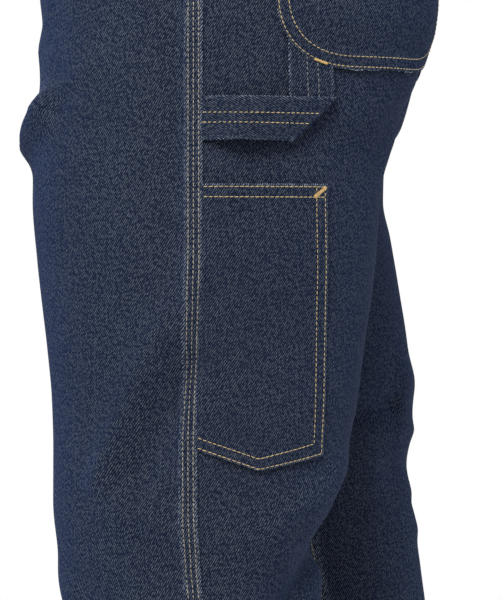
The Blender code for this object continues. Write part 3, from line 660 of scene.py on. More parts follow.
def sew(thread_name, points, normals, pitch=STITCH_PITCH, length=STITCH_LENGTH, width=STITCH_WIDTH,
        group="body"):
    """Stitches along a line of points in millimetres, each lying on the cloth."""
    run = np.concatenate([[0], np.cumsum(np.linalg.norm(np.diff(points, axis=0), axis=1))])
    count = max(2, int(run[-1] / pitch))
    at = (np.arange(count) + 0.5) * run[-1] / count
    at = at + CHANCE.uniform(-0.12, 0.12, count)

    def read(values, where):
        return np.stack([np.interp(where, run, values[:, i]) for i in range(3)], axis=1)

    middle = read(points, at)
    ahead = read(points, np.minimum(at + 1, run[-1])) - read(points, np.maximum(at - 1, 0))
    out = read(normals, at)
    out = out / np.linalg.norm(out, axis=1, keepdims=True)
    ahead = ahead - (ahead * out).sum(axis=1, keepdims=True) * out
    ahead = ahead / np.linalg.norm(ahead, axis=1, keepdims=True)
    aside = np.cross(out, ahead)
    lean = CHANCE.uniform(0.02, 0.14, count)[:, None]
    ahead, aside = ahead * np.cos(lean) + aside * np.sin(lean), aside * np.cos(lean) - ahead * np.sin(lean)
    size = np.array([length / 2, width / 2, width / 2.2]) * CHANCE.uniform(0.92, 1.08, (count, 1))
    STITCHES.append((group, thread_name, middle, ahead, aside, out, size))


def row_on_cloth(thread_name, side, turn, height, rise=0.0, **facts):
    """A row of stitches through a list of turns and heights."""
    turn, height = np.broadcast_arrays(np.asarray(turn, float), np.asarray(height, float))
    sew(thread_name, lifted(side, turn, height, rise), normal(side, turn, height), **facts)


def densely(path, step=4.0):
    """Points every few millimetres along a path of two numbers."""
    path = np.array(path, float)
    run = np.concatenate([[0], np.cumsum(np.hypot(*np.diff(path, axis=0).T))])
    at = np.linspace(0, run[-1], max(2, int(run[-1] / step)))
    return np.interp(at, run, path[:, 0]), np.interp(at, run, path[:, 1])


def row_by_distance(thread_name, side, path, rise, **facts):
    """A row of stitches along a path of (distance behind the outseam, height)."""
    distance, height = densely(path)
    row_on_cloth(thread_name, side, turn_at(side, height, distance), height, rise, **facts)


def bartack(thread_name, side, start, end, rise, width=1.8, group="tacks"):
    """A dense block of thread across a line between two places of (distance, height)."""
    start, end = np.array(start, float), np.array(end, float)
    along = end - start
    length = np.hypot(*along)
    across = np.array([-along[1], along[0]]) / length
    count = max(6, int(length / 0.42))
    for share in (np.arange(count) + 0.5) / count:
        middle = start + along * share
        wide = width / 2 * CHANCE.uniform(0.85, 1.1)
        path = [middle - across * wide, middle + across * wide]
        height = np.array([p[1] for p in path])
        turn = turn_at(side, height, np.array([p[0] for p in path]))
        sew(
            thread_name,
            lifted(side, turn, height, rise + 0.15),
            normal(side, turn, height),
            pitch=50,
            length=wide * 2.1,
            width=0.55,
            group=group,
        )


def panel_heights(top):
    """Heights of a panel's rows, closest together where the folds and pockets are."""
    runs = [
        np.linspace(HEM, HEM + HEM_FOLD, 6, endpoint=False),
        np.linspace(HEM + HEM_FOLD, -575, 84, endpoint=False),
        np.linspace(-575, CROTCH, 108, endpoint=False),
        CROTCH + 70 * (1 - np.cos(np.radians(np.linspace(0, 90, 24)))),
        np.linspace(-185, top, max(2, int((top + 185) / 3.4)))[1:],
    ]
    return np.concatenate(runs)


def front_panel(side):
    """A front with its felled outseam edge, scooped pocket mouth and, on the left, the fly's lap."""
    scoop = np.radians(np.linspace(0, 90, 26))
    scoop_top = BAND_BOTTOM + 3
    scoop_heights = scoop_top - (scoop_top - SCOOP_BOTTOM) * np.cos(scoop)
    heights = np.concatenate([panel_heights(SCOOP_BOTTOM - 2), scoop_heights])
    cut = np.zeros(len(heights))
    cut[-len(scoop):] = SCOOP_WIDTH * np.sin(scoop)
    inner = np.zeros(len(heights))
    lap = np.zeros(len(heights))
    if side == LEFT:
        lap = smooth_step(heights, LAP_BOTTOM - LAP_RAMP, LAP_BOTTOM)
        reach = LAP_WIDTH * smooth_step(heights, LAP_BOTTOM, LAP_BOTTOM + LAP_RAMP)
        inner = inner - 90 * reach / section(side, "centre", heights)
    seam = seam_turn(side, heights) + turns_for(side, heights, FELL_LAP)
    edge = np.where(cut > 0, turn_at(side, heights, -cut), seam)
    band = turn_at(side, heights, -cut - FELL_WIDTH)
    step = turn_at(side, heights, -cut - FELL_WIDTH - 1.2)
    shares = np.linspace(0, 1, 64)
    turns = inner[:, None] + (step - inner)[:, None] * shares[None, :]
    fell = band[:, None] + (edge - band)[:, None] * np.array([0, 0.33, 0.66, 0.93, 1.0])
    turns = np.concatenate([turns, fell], axis=1)
    felled = 1 - smooth_step(heights, SCOOP_BOTTOM - 14, SCOOP_BOTTOM - 2)
    rise = np.zeros(turns.shape)
    rise[:, -5:] = FELL_RISE * felled[:, None]
    rise[:, -1] -= 0.35 * felled
    rise[:, -5:] += 0.5 * (1 - felled)[:, None]
    lapped = smooth_step(np.arange(turns.shape[1]), 9, 6)[None, :] * lap[:, None]
    rise = rise + LAP_RISE * lapped
    # The fell's folded edge gets wear and painted highlight.
    wear_and_highlight = np.zeros(turns.shape)
    wear_and_highlight[:, -2:] = 1
    wear_and_highlight[:, -5] = 0.6
    return garment_cloth(f"front_{side}_cloth", side, turns, heights[:, None], rise,
                         replaces=[f"front_{side}"], edge=wear_and_highlight, cut="front")


def yoke_seam_height(share):
    """The height of the seam under the yoke, from the outseam (0) to the centre back (1)."""
    return YOKE_SIDE + (YOKE_CENTRE - YOKE_SIDE) * share


def back_turns(side, heights, shares, lap=0.0):
    """Turns across the back, from the outseam to the centre back or inseam."""
    start = seam_turn(side, heights) + turns_for(side, heights, SEAM_GAP / 2)
    return start + (360 + lap - start) * shares


def inner_fell(shares, heights, side):
    """The raised felled strip on a back's inseam and, on the left, its seat seam."""
    girth = 150.0
    beside = (1 - shares) * girth
    strip = smooth_step(beside, FELL_WIDTH + 1.2, FELL_WIDTH)
    if side == RIGHT:
        strip = strip * smooth_step(heights, CROTCH + 6, CROTCH)
    return strip


def back_panel(side):
    """A back, with its inseam felled over the front."""
    shares = np.concatenate([np.linspace(0, 0.915, 66), [0.922, 0.93, 0.95, 0.975, 0.995, 1.0]])
    level = panel_heights(-104)
    top = yoke_seam_height(shares) + 3
    upper = -104 + (top + 104)[None, :] * np.linspace(0, 1, 18)[1:, None]
    heights = np.concatenate([np.repeat(level[:, None], len(shares), axis=1), upper])
    turns = back_turns(side, heights, shares[None, :])
    strip = inner_fell(shares[None, :], heights, side)
    rise = FELL_RISE * strip
    rise[:, -1] -= 0.3
    # The raised inseam fell strip gets half the edge wear and painted highlight.
    return garment_cloth(f"back_{side}_cloth", side, turns, heights, rise,
                         replaces=[f"back_{side}"], edge=strip * 0.5, cut="back")


def yoke(side):
    """The shaped piece between a back and the waistband, its lower edge felled over the back."""
    shares = np.linspace(0, 1, 58)
    low = yoke_seam_height(shares) - 0.5
    down = np.concatenate([[0, 0.02, 0.12, 0.22, 0.30], np.linspace(0.34, 1, 9)])
    heights = low[None, :] + (BAND_BOTTOM + 3 - low)[None, :] * down[:, None]
    turns = back_turns(side, heights, shares[None, :])
    above = heights - low[None, :]
    rise = 1.2 + FELL_RISE * smooth_step(above, FELL_WIDTH + 1, FELL_WIDTH - 0.5)
    rise = rise - 1.2 * smooth_step(above, 11, 22)
    return garment_cloth(f"yoke_{side}_cloth", side, turns, heights, rise,
                         replaces=[f"yoke_{side}"], cut="yoke")


def pocket_facing(side):
    """The denim that shows inside a front pocket's scooped mouth."""
    heights = np.linspace(FACING_BOTTOM, BAND_BOTTOM + 2, 24)
    distances = -np.linspace(-1.0, SCOOP_WIDTH + FACING_OVERLAP, 32)[::-1]
    turns = turn_at(side, heights[:, None], distances[None, :])
    return garment_cloth(f"pocket_facing_{side}_cloth", side, turns, heights[:, None], -CLOTH - 0.4,
                         replaces=[f"pocket_facing_{side}"], cut="pocket_facing")


def hem_turnup(side):
    """The hem's turned-up edge, inside the leg."""
    heights = np.linspace(HEM + 0.6, HEM + HEM_FOLD, 5)
    turns = np.linspace(0, 360, 121)
    return garment_cloth(f"hem_{side}", side, turns[None, :], heights[:, None], -CLOTH - 0.2,
                         cut="hem", thickness=1.2)


def band_point(place, height, rise):
    """Points and directions round the whole waist.

    0 is at the centre front and 360 at the back, by way of the left side.
    """
    on_left = place <= 360
    left_turn = np.where(on_left, place, 0.0)
    right_turn = np.where(on_left, 0.0, 720 - place)
    left_points = lifted(LEFT, left_turn, height, rise)
    right_points = lifted(RIGHT, right_turn, height, rise)
    points = np.where(on_left[..., None], left_points, right_points)
    out = np.where(on_left[..., None], normal(LEFT, left_turn, height), normal(RIGHT, right_turn, height))
    return points, out


def band_rise(place):
    """How far the waistband's middle stands off the surface: out on the left's lap, in on the right's."""
    lap = BAND_OVERLAP_TURN
    lapped = 1 - smooth_step(place, lap, lap * 1.5)
    under = smooth_step(place, 720 - lap * 1.5, 720 - lap)
    return (BAND_THICKNESS / 2 + 0.2) * (lapped - under)


def waistband():
    """The band round the waist, its left end lapped over its right end."""
    lap = BAND_OVERLAP_TURN
    places = np.concatenate([np.linspace(-lap, 358, 150), [359.7, 360.3], np.linspace(362, 720 + lap, 150)])
    heights = np.concatenate([[BAND_BOTTOM, BAND_BOTTOM + 0.5], np.linspace(-17, 17, 9),
                              [BAND_TOP - 0.5, BAND_TOP]])
    place, height = np.meshgrid(places, heights)
    crown = 0.5 * smooth_step(np.abs(height), 17, 13) - 0.5 * smooth_step(np.abs(height), 19, 20)
    points, _ = band_point(place, height, band_rise(place) + BAND_THICKNESS / 2 + crown)
    run = np.cumsum(np.linalg.norm(np.diff(points[6], axis=0), axis=1))
    across = np.concatenate([[0], run])
    patterned = np.stack([-height + 0 * place, np.broadcast_to(across, place.shape)], axis=-1)
    # The band's folded top and bottom edges: wear and painted highlight.
    wear_and_highlight = smooth_step(np.abs(height), 18.5, 20)
    cloth("waistband_cloth", points, patterned, replaces=["waistband"], edge=wear_and_highlight, cut="waistband",
          thickness=BAND_THICKNESS)
    for level in (BAND_BOTTOM + 2.2, BAND_TOP - 2.4):
        line = np.linspace(-lap + 2, 720 + lap - 2, 700)
        points, out = band_point(line, np.full(line.shape, level), band_rise(line) + BAND_THICKNESS / 2 + 0.2)
        sew(GOLD_THREAD, points, out, group="waist")


def fly_shield():
    """The straight piece behind the fly's opening."""
    heights = np.linspace(SHIELD_BOTTOM, BAND_BOTTOM + 2, 40)
    offsets = np.linspace(-SHIELD_HALF_WIDTH, SHIELD_HALF_WIDTH, 12)
    turns = 90 * offsets[None, :] / section(LEFT, "centre", heights)[:, None]
    garment_cloth("fly_shield_cloth", LEFT, turns, heights[:, None], -CLOTH - SHIELD_GAP,
                  replaces=["fly_shield"], cut="fly_shield")


def patch_rise(inset, puff):
    """A sewn-on pocket's height above the panel: a doubled edge, and a middle that stands slightly full."""
    turned = 0.75 * smooth_step(inset, EDGE_FOLD + 1.4, EDGE_FOLD - 0.2)
    full = puff * smooth_step(inset, 8, 34)
    rounded = -0.45 * smooth_step(inset, 0.7, 0.0)
    return PATCH_RISE + turned + full + rounded


def rule_pocket_bottom(across):
    """The rule pocket's lower edge at a distance behind the outseam."""
    size = RULE_POCKET
    return np.interp(
        across,
        [0, size["point_across"], size["bottom_width"]],
        [size["seam_bottom"], size["point"], size["back_bottom"]],
    )


def rule_pocket_rise(distance, height):
    """The rule pocket's height above the panel, a little open at its mouth, and the inset from its edge."""
    size = RULE_POCKET
    from_top = size["top"] - height
    down = from_top / (size["top"] - size["point"])
    width = size["top_width"] + (size["bottom_width"] - size["top_width"]) * down
    inset = np.minimum(np.minimum(width - distance, from_top * 0.9), height - rule_pocket_bottom(distance))
    gaping = 0.9 * np.exp(-((from_top / 16) ** 2)) * np.sin(np.pi * np.clip(distance / width, 0, 1))
    rise = patch_rise(inset, 1.0) + gaping - 0.9 * smooth_step(distance, 8, 0)
    return rise, inset


def rule_pocket():
    """The long narrow pocket in the left outseam."""
    size = RULE_POCKET
    across = np.concatenate([[0], np.linspace(0.01, 0.88, 22), [0.895, 0.91, 0.95, 0.985, 0.996, 1.0]])
    down = np.concatenate([[0, 0.004, 0.012, 0.03, 0.052, 0.060], np.linspace(0.075, 0.94, 48),
                           [0.948, 0.956, 0.975, 0.99, 0.997, 1]])
    bottom = rule_pocket_bottom(across * size["bottom_width"])
    heights = size["top"] + (bottom[None, :] - size["top"]) * down[:, None]
    width = size["top_width"] + (size["bottom_width"] - size["top_width"]) * down[:, None]
    distances = width * across[None, :]
    rise, inset = rule_pocket_rise(distances, heights)
    turns = turn_at(LEFT, heights, distances)
    # The pocket's turned edges: wear and painted highlight.
    wear_and_highlight = smooth_step(inset, 1.6, 0.2)
    garment_cloth("rule_pocket_cloth", LEFT, turns[::-1], heights[::-1], rise[::-1],
                  replaces=["rule_pocket"], edge=wear_and_highlight[::-1], cut="rule_pocket", thickness=PATCH_THICKNESS)
    for inset in TWIN_ROWS:
        low = [(1.0, rule_pocket_bottom(0) + inset - 0.6)]
        low += [(size["point_across"], size["point"] + inset - 0.6)]
        low += [(size["bottom_width"] - inset, rule_pocket_bottom(size["bottom_width"]) + inset - 0.6)]
        side = [low[-1], (size["top_width"] - inset, size["top"] - TWIN_ROWS[0])]
        hem = [(1.0, size["top"] - inset), (size["top_width"] - TWIN_ROWS[0], size["top"] - inset)]
        for path, long in ((low, 3.0), (side, 2.6), (hem, 3.15)):
            distance, height = densely(path, 2.0)
            rise = rule_pocket_rise(distance, height)[0]
            row_on_cloth(GOLD_THREAD, LEFT, turn_at(LEFT, height, distance), height, rise + 0.05, length=long,
                         group="rule_pocket")
    corner = size["top_width"] - TWIN_ROWS[0]
    bartack(TACK_THREAD, LEFT, (corner - 8.0, size["top"] - 8.6), (corner + 0.8, size["top"] - 2.2),
            PATCH_RISE + 0.9)


def pocket_outline(inset):
    """A back pocket's side, round corners and bottom, as (distance, height), a given inset from its edge."""
    size = BACK_POCKET
    near, far = size["near_edge"] + inset, size["near_edge"] + size["width"] - inset
    bottom = size["bottom"] + inset
    wide, tall = size["corner"][0] - inset, size["corner"][1] - inset
    bend = np.radians(np.linspace(0, 90, 24))
    full = 2 / size["fullness"]
    falling, rising = 1 - np.cos(bend) ** full, 1 - np.sin(bend) ** full
    left = np.stack([near + wide * falling, bottom + tall * rising], axis=1)
    right = np.stack([far - wide * rising, bottom + tall * falling], axis=1)
    start, end = (near, size["top_near"] - 1.5), (far, size["top_far"] - 1.5)
    return [start, *map(tuple, left), *map(tuple, right), end]


def back_pocket(side):
    """A patch pocket on the seat, with large round lower corners."""
    size = BACK_POCKET
    near, far = size["near_edge"], size["near_edge"] + size["width"]
    wide, tall = size["corner"]
    bend = np.radians(np.linspace(90, 0, 26))
    full = 2 / size["fullness"]
    inset_low = wide * (1 - np.cos(bend) ** full)
    above_low = tall * (1 - np.sin(bend) ** full)
    across = np.concatenate([[0, 0.004, 0.012, 0.03, 0.055], np.linspace(0.075, 0.925, 34),
                             [0.945, 0.97, 0.988, 0.996, 1]])
    rows_inset = np.concatenate([inset_low, np.zeros(30)])
    distances = near + rows_inset[:, None] + (far - near - 2 * rows_inset[:, None]) * across[None, :]
    share = (distances - near) / (far - near)
    top = size["top_near"] + (size["top_far"] - size["top_near"]) * share
    base = size["bottom"] + tall
    up = np.concatenate([np.linspace(0, 0.94, 25)[1:], [0.955, 0.965, 0.98, 0.99, 0.997, 1]])
    low_rows = np.repeat((size["bottom"] + above_low)[:, None], len(across), axis=1)
    high_rows = base + (top[26:] - base) * up[:, None]
    heights = np.concatenate([low_rows, high_rows])
    outline = np.array([p for p in zip(*densely(pocket_outline(0.0), 3.0))])
    gaps = np.hypot(distances[..., None] - outline[:, 0], heights[..., None] - outline[:, 1])
    inset = np.minimum(gaps.min(axis=-1), np.abs(top - heights) * 0.7)
    rise = patch_rise(inset, 1.4)
    turns = turn_at(side, heights, distances)
    # The pocket's turned edges: wear and painted highlight.
    wear_and_highlight = smooth_step(inset, 1.6, 0.2)
    garment_cloth(f"back_pocket_{side}_cloth", side, turns, heights, rise,
                  replaces=[f"back_pocket_{side}"], edge=wear_and_highlight, cut="back_pocket", thickness=PATCH_THICKNESS)
    height = PATCH_RISE + 0.75
    for inset in (1.6, 8.2):
        row_by_distance(GOLD_THREAD, side, pocket_outline(inset), height, group=f"back_pocket_{side}")
    for below in (2.0, 13.0):
        hem = [(near + 2, size["top_near"] - below), (far - 2, size["top_far"] - below)]
        row_by_distance(GOLD_THREAD, side, hem, height, group=f"back_pocket_{side}")
    for distance, level, inward in ((near, size["top_near"], 9), (far, size["top_far"], -9)):
        bartack(TACK_THREAD, side, (distance + inward * 0.2, level - 1.5),
                (distance + inward, level - 1.5), height + 0.2)
    if side == LEFT:
        bartack(TACK_THREAD, side, *LOOP_TACK, height + 0.1, width=1.2)


def loop_centre(across, along):
    """Middle points of the hammer loop's cloth.

    Along is 0 to 1 on the level part, 1 to 2 in the turn and 2 to 3 above it.
    """
    size = LOOP_STRIP
    across, along = np.broadcast_arrays(np.asarray(across, float), np.asarray(along, float))
    rest = size["rest"] + size["thickness"] / 2
    low_end, high_end = size["near_edge"], size["far_edge"]
    fold_distance = low_end + (high_end - low_end) * across
    fold_height = size["bottom"] + (size["top"] - size["bottom"]) * across
    level = np.clip(along, 0, 1)
    distance = SEAM_GAP + (fold_distance - SEAM_GAP) * level
    rise = rest + (size["rise_middle"] - rest) * smooth_step(level, 0, 0.45)
    rise = rise + (size["rise_end"] - size["rise_middle"]) * smooth_step(level, 0.45, 1)
    droop = 1.2 * np.sin(np.pi * level) * (1 - across)
    rise = rise + droop * 0.6
    radius = (size["thickness"] + size["layer_gap"]) / 2
    bend = np.pi * np.clip(along - 1, 0, 1)
    slope = math.atan2(size["top"] - size["bottom"], high_end - low_end)
    distance = distance + radius * np.sin(bend) * math.sin(slope)
    height = fold_height - radius * np.sin(bend) * math.cos(slope)
    rise = rise - radius + radius * np.cos(bend)
    pocket = BACK_POCKET
    wide, tall = pocket["corner"]
    aside = np.clip((pocket["near_edge"] + wide - fold_distance) / wide, 0, 0.98)
    curve = pocket["bottom"] + tall * (1 - np.sqrt(1 - aside**2))
    climb = np.clip(along - 2, 0, 1)
    height = height + (curve + 9.0 - fold_height) * climb
    under = size["rise_end"] - 2 * radius
    rise = np.where(along > 2, under + (0.9 - under) * smooth_step(climb, 0.1, 0.92), rise)
    return distance, height, rise


def loop_points(across, along, above=0.0):
    """Points of the hammer loop in millimetres, a given height off its middle, with their directions."""
    distance, height, rise = loop_centre(across, along)
    turn = turn_at(LEFT, height, distance)
    return lifted(LEFT, turn, height, rise + above), normal(LEFT, turn, height)


def hammer_loop():
    """The doubled strip from the outseam, turned up at a mitred fold and caught under the back pocket."""
    across = np.concatenate([[0, 0.03], np.linspace(0.1, 0.9, 9), [0.97, 1]])
    along = np.concatenate([np.linspace(0, 1, 34)[:-1], np.linspace(1, 2, 9)[:-1], np.linspace(2, 3, 26)])
    grid_across, grid_along = np.meshgrid(across, along)
    points, _ = loop_points(grid_across, grid_along)
    out = np.cross(np.gradient(points, axis=1), np.gradient(points, axis=0))
    out = -out / np.linalg.norm(out, axis=-1, keepdims=True)
    half = LOOP_STRIP["thickness"] / 2
    soft = half - 0.35 * smooth_step(np.abs(across - 0.5), 0.42, 0.5)[None, :, None]
    outer = points + out * soft
    run = np.cumsum(np.linalg.norm(np.diff(points, axis=0), axis=2), axis=0)
    run = np.concatenate([np.zeros((1, len(across))), run])
    mirrored = np.where(grid_along > 1.5, -1.0, 1.0)
    patterned = np.stack([grid_across * -30 * mirrored, run], axis=-1)
    # The strip's folded long edges: wear and painted highlight.
    wear_and_highlight = smooth_step(np.abs(grid_across - 0.5), 0.45, 0.5)
    made = cloth("hammer_loop_cloth", outer[:, ::-1], patterned[:, ::-1], replaces=["hammer_loop"],
                 edge=wear_and_highlight[:, ::-1], cut="hammer_loop", held="folded", thickness=LOOP_STRIP["thickness"])
    made.data.materials[1] = DENIM_FACE
    face = half + 0.05
    stitch_rows = ((GOLD_THREAD, 0.0, 1.0, (0.395, 0.625)), (DIM_THREAD, 2.04, 2.96, (0.41, 0.65)))
    for row_thread, start, end, shares in stitch_rows:
        for share in shares:
            line = np.linspace(start, end, 60)
            points, normals = loop_points(np.full(60, share), line, face)
            sew(row_thread, points, normals, group="hammer_loop")


def belt_loop(name, side, distance):
    """A short strip bowed over the waistband."""
    size = BELT_LOOP
    share = np.linspace(0, 1, 30)
    heights = size["below"] + (size["above"] - size["below"]) * share
    half = size["width"] / 2
    bow = smooth_step(share, 0.05, 0.24) * smooth_step(share, 0.95, 0.76)
    rise = BAND_THICKNESS / 2 + SEAM_GAP + size["bow"] * bow + size["thickness"]
    rise = rise - 1.6 * smooth_step(share, 0.16, 0.05)
    offsets = np.concatenate([[-half, -half + 0.4], np.linspace(-half + 1.2, half - 1.2, 6),
                              [half - 0.4, half]])
    soft = -0.4 * smooth_step(np.abs(offsets), half - 0.6, half)
    if distance is None:
        turn_half = 90 * np.abs(offsets)[None, :] / section(LEFT, "centre", heights)[:, None]
        height = heights[:, None] + 0 * turn_half
        lift = rise[:, None] + soft[None, :]
        left, right = (lifted(s, 360 - turn_half, height, lift) for s in (LEFT, RIGHT))
        points = np.where((offsets < 0)[None, :, None], left, right)
        out = normal(LEFT, 360 - turn_half, height)
        rows = [(points[:, i], out[:, i]) for i in (2, 7)]
    else:
        turns = turn_at(side, heights[:, None], distance + offsets[None, :])
        points = lifted(side, turns, heights[:, None], rise[:, None] + soft[None, :])
        out = normal(side, turns, heights[:, None] + 0 * turns)
        rows = [(points[:, i], out[:, i]) for i in (2, 7)]
        if side == RIGHT:
            points = points[:, ::-1]
    patterned = np.stack(np.meshgrid(offsets, heights), axis=-1)
    cloth(f"{name}_cloth", points, patterned, replaces=[name], cut="belt_loop", thickness=size["thickness"])
    for line, out_line in rows:
        sew(GOLD_THREAD, line + out_line * 0.1, out_line, group="waist")
    for i in (1, 27):
        line = points[i, 1:-1]
        across = out[i, 1:-1]
        if distance is None:
            across = np.broadcast_to(np.array([0.0, 1.0, 0.0]), line.shape)
        for shift in (-0.6, 0.0, 0.6):
            sew(TACK_THREAD, line + np.array([0, 0, shift]) + across * 0.15, across, pitch=1.6, length=1.9,
                width=0.6, group="tacks")


def waist_button():
    """The shank button: a dished disc with a rolled rim and a low boss, spun about its middle."""
    low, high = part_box("waist_button")
    centre = (low + high) / 2
    profile = [(0.0, 2.3), (1.5, 2.25), (2.1, 1.75), (5.6, 1.6), (6.4, 2.2), (7.3, 2.6),
               (8.1, 2.2), (8.5, 1.5),
               (8.3, 0.8), (7.6, 0.3), (4.2, 0.0), (0.0, 0.0)]
    form = bmesh.new()
    verts = [form.verts.new((r * MM, 0, (h - BUTTON_HEIGHT / 2) * MM)) for r, h in profile]
    edges = [form.edges.new(pair) for pair in zip(verts, verts[1:])]
    bmesh.ops.spin(form, geom=verts + edges, cent=(0, 0, 0), axis=(0, 0, 1), angle=2 * math.pi, steps=48,
                   use_merge=True, use_duplicate=False)
    bmesh.ops.remove_doubles(form, verts=form.verts, dist=1e-6)
    bmesh.ops.recalc_face_normals(form, faces=form.faces)
    bmesh.ops.rotate(form, verts=form.verts, cent=(0, 0, 0),
                     matrix=Matrix.Rotation(math.radians(90), 3, "X"))
    bmesh.ops.translate(form, verts=form.verts, vec=centre)
    mesh = bpy.data.meshes.new("waist_button_metal")
    form.to_mesh(mesh)
    form.free()
    mesh.shade_smooth()
    mesh.materials.append(button_metal())
    made = bpy.data.objects.new("waist_button_metal", mesh)
    bpy.context.scene.collection.objects.link(made)
    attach(made, "root")
    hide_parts("waist_button")


def sew_seams():
    """Rows along the seams: outseam, inseam, seat, yoke, fly, scoops and hems."""
    for side in SIDES:
        heights = np.linspace(HEM + 2, SCOOP_BOTTOM - 4, 400)
        for row in FELL_ROWS:
            row_on_cloth(PALE_THREAD, side, turn_at(side, heights, row + 0 * heights), heights, FELL_RISE,
                         group=f"outseam_{side}")
        upper = np.linspace(SCOOP_BOTTOM - 2, BAND_BOTTOM - 1, 20)
        turns = seam_turn(side, upper) + turns_for(side, upper, 2.2)
        row_on_cloth(PALE_THREAD, side, turns, upper, 0.1, group=f"outseam_{side}")
        low = np.linspace(HEM + 2, CROTCH - 3, 300)
        for beside in (2.0, 8.4):
            girth = 150.0
            start = seam_turn(side, low)
            turns = start + (360 - start) * (1 - beside / girth)
            row_on_cloth(PALE_THREAD, side, turns, low, FELL_RISE, group=f"inseam_{side}")
        for inset in (2.0, 8.4):
            bend = np.radians(np.linspace(2, 86, 40))
            height = BAND_BOTTOM - 1 - (BAND_BOTTOM - SCOOP_BOTTOM + inset) * np.cos(bend)
            distance = -(SCOOP_WIDTH + inset) * np.sin(bend) - inset * (1 - np.sin(bend))
            row_on_cloth(GOLD_THREAD, side, turn_at(side, height, distance), height, 0.5,
                         group="fly_and_scoops")
        share = np.linspace(0.02, 0.99, 60)
        for above in (1.4, 7.4):
            height = yoke_seam_height(share) + above
            turns = back_turns(side, height, share)
            row_on_cloth(PALE_THREAD, side, turns, height, 1.2 + FELL_RISE, group="seat")
        around = np.linspace(2, 358, 160)
        for above in (HEM_FOLD - 3.0,):
            row_on_cloth(PALE_THREAD, side, around, np.full(160, HEM + above), 0.1, group=f"outseam_{side}")
    seat = np.linspace(CROTCH + 8, YOKE_CENTRE - 2, 90)
    for beside in (2.0, 8.4):
        start = seam_turn(LEFT, seat)
        turns = start + (360 - start) * (1 - beside / 150.0)
        row_on_cloth(PALE_THREAD, LEFT, turns, seat, FELL_RISE, group="seat")
    rise = np.linspace(-248, LAP_BOTTOM - 6, 30)
    for offset in (2.0, 7.5):
        turns = 90 * offset / section(LEFT, "centre", rise)
        row_on_cloth(GOLD_THREAD, LEFT, turns, rise, 0.1, group="fly_and_scoops")
    for offset in (34.0, 40.0):
        bend = np.radians(np.linspace(0, 80, 20))
        low = LAP_BOTTOM + 6 - (offset - 34)
        curve_offset = offset * np.cos(bend)
        curve_height = low + 34 - 34 * np.sin(bend)
        offsets = np.concatenate([[offset] * 20, curve_offset])
        heights = np.concatenate([np.linspace(BAND_BOTTOM - 1, low + 34, 20), curve_height])
        turns = 90 * offsets / section(LEFT, "centre", heights)
        row_on_cloth(GOLD_THREAD, LEFT, turns, heights, 0.1, group="fly_and_scoops")


def buttonhole():
    """The close-stitched eyelet hole on the waistband's lap, seen either side of the button."""
    angle = np.linspace(0, 2 * math.pi, 160)
    offset = 11.5 * np.sign(np.cos(angle)) * np.abs(np.cos(angle)) ** 0.7
    height = 2.6 * np.sin(angle)
    place = 90 * offset / section(LEFT, "centre", height)
    points, out = band_point(place, height, band_rise(place) + BAND_THICKNESS / 2 + 0.35)
    sew(NAVY_THREAD, points, out, pitch=0.55, length=0.5, width=2.2, group="tacks")


def make_stitches():
    """Every stitch as a small bent bead of thread, joined into one piece for each seam and colour."""
    form = bmesh.new()
    bmesh.ops.create_uvsphere(form, u_segments=6, v_segments=4, radius=1)
    bead = bpy.data.meshes.new("bead")
    bmesh.ops.rotate(form, verts=form.verts, cent=(0, 0, 0),
                     matrix=Matrix.Rotation(math.radians(90), 3, "Y"))
    form.to_mesh(bead)
    form.free()
    shape = np.array([vert.co[:] for vert in bead.vertices])
    shape[:, 2] -= 0.35 * shape[:, 0] ** 2
    faces = [list(face.vertices) for face in bead.polygons]
    groups = {}
    for group, thread_name, *facts in STITCHES:
        groups.setdefault((group, thread_name), []).append(facts)
    for (group, thread_name), rows in groups.items():
        points, built = [], []
        for middle, ahead, aside, out, size in rows:
            scaled = shape[None, :, :] * size[:, None, :]
            place = middle[:, None, :] + scaled[..., :1] * ahead[:, None, :]
            place = place + scaled[..., 1:2] * aside[:, None, :] + scaled[..., 2:] * out[:, None, :]
            points.append(place.reshape(-1, 3))
        points = np.concatenate(points)
        for i in range(len(points) // len(shape)):
            built += [[index + i * len(shape) for index in face] for face in faces]
        name = f"stitches_{group}_{thread_name}"
        mesh = bpy.data.meshes.new(name)
        mesh.from_pydata((points * MM).tolist(), [], built)
        mesh.shade_smooth()
        mesh.materials.append(THREADS[thread_name])
        made = bpy.data.objects.new(name, mesh)
        bpy.context.scene.collection.objects.link(made)
        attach(made, "root")
    bpy.data.meshes.remove(bead)


def make_garment():
    for side in SIDES:
        front_panel(side)
        back_panel(side)
        yoke(side)
        pocket_facing(side)
        back_pocket(side)
        hem_turnup(side)
    waistband()
    fly_shield()
    rule_pocket()
    hammer_loop()
    for name, side, distance in BELT_LOOPS:
        belt_loop(name, side, distance)
    waist_button()
    sew_seams()
    buttonhole()
    make_stitches()


def area_light(name, place, aim, size, power, colour=(1, 1, 1)):
    """A soft square light turned towards a point."""
    data = bpy.data.lights.new(name, "AREA")
    data.shape = "RECTANGLE"
    data.size, data.size_y = size
    data.energy = power
    data.color = colour
    made = bpy.data.objects.new(name, data)
    made.location = place
    made.rotation_euler = (Vector(aim) - Vector(place)).to_track_quat("-Z", "Y").to_euler()
    bpy.context.scene.collection.objects.link(made)


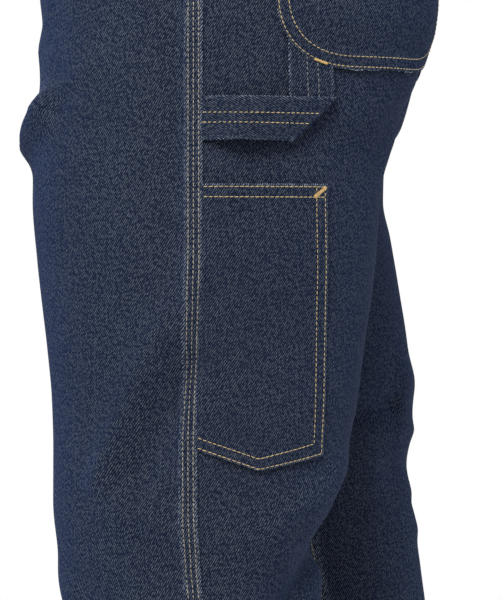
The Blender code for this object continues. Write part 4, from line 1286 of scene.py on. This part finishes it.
def make_stage():
    """A pale floor under the hems, an even white surround, soft lights and the camera."""
    scene = bpy.context.scene
    scene.view_settings.view_transform = "Standard"
    form = bmesh.new()
    bmesh.ops.create_circle(form, cap_ends=True, segments=96, radius=FLOOR_RADIUS)
    bmesh.ops.translate(form, verts=form.verts, vec=(0, 0, FLOOR_HEIGHT))
    mesh = bpy.data.meshes.new("floor")
    form.to_mesh(mesh)
    form.free()
    paint = bpy.data.materials.new("floor_pale")
    paint.use_nodes = True
    paint.node_tree.nodes["Principled BSDF"].inputs["Base Color"].default_value = (0.62, 0.62, 0.61, 1)
    paint.node_tree.nodes["Principled BSDF"].inputs["Roughness"].default_value = 0.9
    mesh.materials.append(paint)
    floor = bpy.data.objects.new("floor", mesh)
    scene.collection.objects.link(floor)

    world = bpy.data.worlds.new("white_room")
    world.use_nodes = True
    world.node_tree.nodes["Background"].inputs["Color"].default_value = (1, 1, 1, 1)
    world.node_tree.nodes["Background"].inputs["Strength"].default_value = 1.0
    scene.world = world

    middle = (0, 0.03, -0.45)
    area_light("key_left", (2.4, -0.5, 1.9), middle, (1.3, 1.3), 300)
    area_light("key_right", (-2.4, -0.5, 1.9), middle, (1.3, 1.3), 270)
    area_light("fill_front", (0.3, -3.2, 0.5), middle, (1.6, 1.8), 55, (0.50, 0.72, 1.0))
    area_light("fill_back", (-0.3, 3.2, 0.5), middle, (1.6, 1.8), 55, (0.50, 0.72, 1.0))

    azimuth, elevation = math.radians(CAMERA_AZIMUTH), math.radians(CAMERA_ELEVATION)
    away = Vector((math.sin(azimuth) * math.cos(elevation), -math.cos(azimuth) * math.cos(elevation),
                   math.sin(elevation)))
    right = Vector((math.cos(azimuth), math.sin(azimuth), 0))
    aim = Vector(LEG_POINT) + right * AIM_ASIDE
    data = bpy.data.cameras.new("camera")
    data.lens = LENS
    data.sensor_width = SENSOR
    data.clip_end = 50
    camera = bpy.data.objects.new("camera", data)
    camera.location = Vector(LEG_POINT) + away * CAMERA_DISTANCE
    camera.rotation_euler = (aim - camera.location).to_track_quat("-Z", "Y").to_euler()
    scene.collection.objects.link(camera)
    scene.camera = camera


make_stage()
make_garment()
